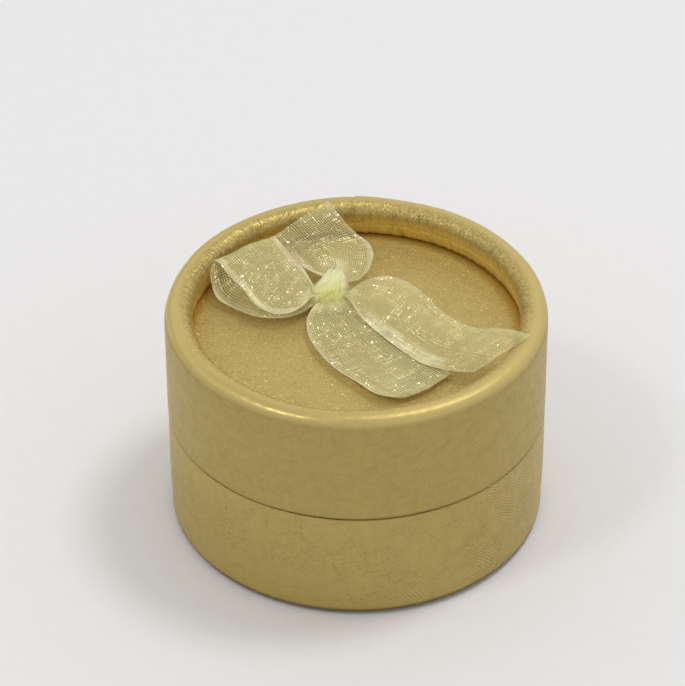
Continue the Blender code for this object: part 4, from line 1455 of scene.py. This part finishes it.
loops["back"] = ribbon(
    "ribbon_back_tail",
    [
        (-4.2, 11.4, 33.8),
        (-5.0, 12.6, 33.9),
        (-6.3, 13.5, 33.7),
        (-7.8, 14.9, 33.5),
        (-9.2, 17.2, 33.5),
        (-10.6, 19.6, 33.8),
        (-11.6, 21.2, 34.1),
        (-12.4, 22.3, 34.4),
    ],
    [
        (-2.5, 10.9, 33.6),
        (-0.9, 11.2, 33.0),
        (0.4, 11.7, 32.3),
        (1.6, 13.5, 32.1),
        (2.3, 16.0, 32.5),
        (2.5, 18.4, 33.2),
        (1.8, 20.9, 34.0),
        (0.5, 22.6, 34.7),
        (-1.0, 25.0, 35.5),
        (-2.6, 28.3, 36.0),
        (-4.2, 31.8, 36.3),
    ],
    120,
    ("start",),
    arch=0.35,
    seed=5,
    clear=(
        (-8.0, 22.5, 3.4, 0.6),
        (-4.0, 23.5, 3.4, 0.55),
        (-2.8, 15.5, 1.9, -0.38),
        (-2.6, 13.0, 1.8, -0.5),
        (-2.8, 19.0, 3.0, -0.2),
        (1.0, 18.0, 1.6, -0.2),
    ),
    hems=((0, 0.1, 0.7, 1.0, 0.4), (1, 0.25, 0.75, 0.9, 0.3)),
    shine=((-5.8, 19.4, 2.0, 0.8), (0.4, 22.0, 1.2, 1.0), (-4.0, 28.5, 2.2, 0.5), (-7.6, 15.6, 1.3, 0.8), (-8.6, 18.2, 1.2, 0.8)),
)
loops["front"] = ribbon(
    "ribbon_front_loop",
    [
        (-4.6, 8.2, 32.1),
        (-5.6, 6.2, 31.7),
        (-6.6, 3.8, 30.95),
        (-6.9, 0.7, 30.8),
        (-6.2, -3.2, 30.8),
        (-4.1, -7.2, 30.8),
        (-1.3, -10.8, 30.8),
        (1.5, -13.9, 30.8),
        (3.2, -15.3, 30.8),
        (4.9, -16.0, 30.9),
        (6.1, -16.2, 31.2),
        (5.3, -16.3, 31.5),
        (3.9, -16.0, 31.65),
        (2.4, -15.2, 31.65),
        (0.2, -12.9, 31.65),
        (-2.5, -10.1, 31.65),
        (-5.2, -6.1, 31.65),
        (-6.8, -2.2, 31.65),
        (-7.2, 0.9, 31.7),
        (-6.9, 3.3, 32.0),
        (-5.9, 5.8, 32.5),
        (-4.7, 8.4, 32.8),
    ],
    [
        (-2.3, 8.2, 32.1),
        (-1.2, 6.2, 31.7),
        (0.9, 3.4, 30.95),
        (3.2, 0.8, 30.85),
        (5.0, -1.8, 30.8),
        (7.2, -4.2, 30.8),
        (9.6, -6.9, 30.8),
        (11.7, -9.0, 30.8),
        (13.0, -10.3, 30.95),
        (13.3, -10.7, 31.2),
        (12.7, -9.9, 31.5),
        (10.9, -7.7, 31.6),
        (8.8, -5.6, 31.6),
        (6.9, -3.4, 31.65),
        (5.0, -1.2, 31.65),
        (3.4, 0.9, 31.7),
        (1.2, 3.9, 32.0),
        (-0.9, 6.6, 32.6),
        (-2.2, 8.4, 32.8),
    ],
    240,
    ("start", "end"),
    reach=4.6,
    seed=8,
    bulge=(0.55, -0.75),
    clear=((5.4, -13.2, 3.4, -0.3), (-3.1, 5.0, 1.6, -0.5), (-5.8, 4.6, 1.0, -0.5)),
    hems=((0, 0.55, 0.95, 0.5, 0.35),),
    shine=((-3.6, -1.5, 2.2, 0.8), (-5.2, -5.6, 1.5, 0.7), (-1.7, -3.6, 1.6, 0.6), (-4.0, -8.0, 1.3, 1.0), (3.6, -5.4, 1.6, 0.5)),
)
loops["right"] = ribbon(
    "ribbon_right_tail",
    [
        (-2.6, 9.2, 33.4),
        (-1.1, 9.0, 33.5),
        (0.0, 10.3, 33.7),
        (1.7, 11.8, 34.1),
        (3.5, 12.6, 34.4),
        (5.0, 12.5, 34.5),
        (6.9, 11.3, 34.3),
        (8.7, 9.5, 33.8),
        (10.2, 7.4, 33.4),
        (11.7, 5.0, 33.0),
        (13.5, 2.6, 32.8),
        (15.5, 0.6, 33.0),
        (17.5, -0.1, 33.6),
        (20.0, -0.1, 34.9),
        (22.7, -0.8, 35.9),
        (25.0, -2.0, 36.3),
    ],
    [
        (-2.6, 8.3, 33.2),
        (-1.1, 6.9, 33.2),
        (0.2, 3.4, 32.45),
        (1.9, 0.6, 32.1),
        (4.3, -2.8, 31.9),
        (6.6, -5.7, 31.85),
        (9.1, -8.2, 31.85),
        (11.4, -9.5, 31.95),
        (13.5, -10.2, 32.2),
        (15.2, -10.5, 32.5),
        (16.6, -10.5, 32.8),
    ],
    170,
    ("start",),
    arch=0.3,
    reach=4.6,
    seed=13,
    clear=((-0.8, 8.6, 1.2, -0.5),),
    hems=((1, 0.1, 0.6, 1.4, 0.5), (1, 0.25, 0.8, 2.4, 0.5)),
    shine=((7.7, 3.2, 2.4, 0.9), (10.6, 6.4, 1.5, 1.0), (4.2, 11.6, 1.5, 0.6), (0.9, 2.8, 1.3, 1.2), (2.2, 1.0, 1.3, 1.2), (3.4, -0.6, 1.1, 0.9), (15.0, -3.0, 2.4, 0.2)),
)
for key, node in (
    ("left", "bow_left_loop"),
    ("back", "bow_back_tail"),
    ("front", "bow_front_loop"),
    ("right", "bow_right_tail"),
):
    obj, length = loops[key]
    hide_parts(node)
    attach(obj, "lid")
    print(f"{obj.name}: {length:.1f} mm long")


def knot():
    """The wrap of ribbon over the bow's middle, wound round a left-right axis: narrow where
    it comes over from the back, wide and crumpled in front."""
    n_round, n_across = 200, 150
    cx, cy, cz = -3.6, 7.4, 33.2
    rng = np.random.RandomState(17)
    x = np.linspace(-1, 1, n_across + 1)
    a = np.arange(n_round) / n_round * TAU
    X, A = np.meshgrid(x, a, indexing="ij")
    body = np.sqrt(np.clip(1 - np.abs(X) ** 3.2, 0, 1))
    front = smooth01((A - 1.0) / 1.9) * smooth01((5.6 - A) / 1.2)
    half = 1.75 + 0.95 * front
    mid = cx + 0.6 * (1 - front)
    fold = np.zeros_like(X)
    for k, size in ((1.7, 0.10), (2.9, 0.10), (4.7, 0.075), (7.3, 0.05), (11.3, 0.03), (16.1, 0.02)):
        p = rng.uniform(0, TAU, 5)
        sway = rng.uniform(0.9, 1.9) * np.sin(A + p[0]) + 0.7 * np.sin(2 * A + p[1])
        sway += 0.4 * np.sin(5 * A + p[4])
        strong = 0.65 + 0.35 * np.sin(2 * A + p[2] + 3 * X)
        fold += size * strong * np.sin(TAU * k / 2 * X * 2 + sway + p[3])
    crumple = np.zeros_like(X)
    for _ in range(22):
        kx, ka = rng.uniform(0.8, 4.4), rng.randint(3, 14)
        crumple += 0.027 * np.sin(TAU * kx * X / 2 + ka * A + rng.uniform(0, TAU))
    bulge = 0.12 * np.sin(2 * A + 0.6) + 0.10 * np.sin(3 * A + 2.0)
    # A skirt of gathered cloth spreads from its lower front edge
    skirt = np.exp(-(((A - 3.8) / 0.45) ** 2))
    tongue = 0.7 + 0.3 * np.sin(5.3 * X + 0.9) + 0.2 * np.sin(11.0 * X + 2.0)
    radial = fold + crumple * (0.3 + 0.45 * front) + bulge + 1.35 * skirt * tongue
    ry = (2.3 + 0.4 * front + radial) * body + 0.02
    rz = (2.25 + radial) * body + 0.02
    px = mid + X * half * (1 + 0.18 * skirt) + 0.16 * np.sin(A * 3 + 1.0) * (1 - X**2)
    px -= 0.55 * front * smooth01(-X) * (1 + skirt)
    py = cy + ry * np.cos(A) - 0.35 * front
    pz = np.maximum(cz + rz * np.sin(A), DISC_Z + 0.3)
    verts = np.stack([px, py, pz], -1).reshape(-1, 3)
    faces, uvs = [], []
    for i in range(n_across):
        for j in range(n_round):
            j2 = (j + 1) % n_round
            faces.append(
                (i * n_round + j, i * n_round + j2, (i + 1) * n_round + j2, (i + 1) * n_round + j)
            )
            u1, u2 = x[i] * 5 + 5, x[i + 1] * 5 + 5
            v1, v2 = j / n_round * 13.0, (j + 1) / n_round * 13.0
            uvs.append([(u1, v1), (u1, v2), (u2, v2), (u2, v1)])
    m = len(verts)
    verts = np.vstack([verts, verts[:n_round].mean(0), verts[-n_round:].mean(0)])
    for j in range(n_round):
        j2 = (j + 1) % n_round
        faces.append((m, j2, j))
        uvs.append([(0.0, 0.0)] * 3)
        faces.append((m + 1, m - n_round + j, m - n_round + j2))
        uvs.append([(10.0, 0.0)] * 3)
    return piece("ribbon_knot", verts, faces, knot_look, uvs, sharp=80)


knot_obj = knot()
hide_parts("bow_knot")
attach(knot_obj, "lid")

glue = lathe(
    "glue_dot",
    [(0.0, 31.15), (0.7, 31.13), (1.3, 31.05), (1.75, 30.88), (2.02, 30.7), (2.1, 30.6), (2.08, 30.56)]
    + [(1.9, 30.55), (1.0, 30.55), (0.0, 30.55)],
    48,
    glue_look,
    lambda theta, s, r, z: (0.08 * np.sin(3 * theta + 0.4) * (r > 1), np.zeros_like(z)),
)
for v in glue.data.vertices:
    v.co.x += -3.6 * MM
    v.co.y += 7.4 * MM
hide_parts("bow_glue_dot")
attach(glue, "lid")

# ---------------------------------------------------------------------- floor
floor_mesh = bpy.data.meshes.new("floor")
floor_mesh.from_pydata([(-2, -2, 0), (2, -2, 0), (2, 2, 0), (-2, 2, 0)], [], [(0, 1, 2, 3)])
floor_mesh.materials.append(floor_material())
floor = bpy.data.objects.new("floor", floor_mesh)
scene.collection.objects.link(floor)
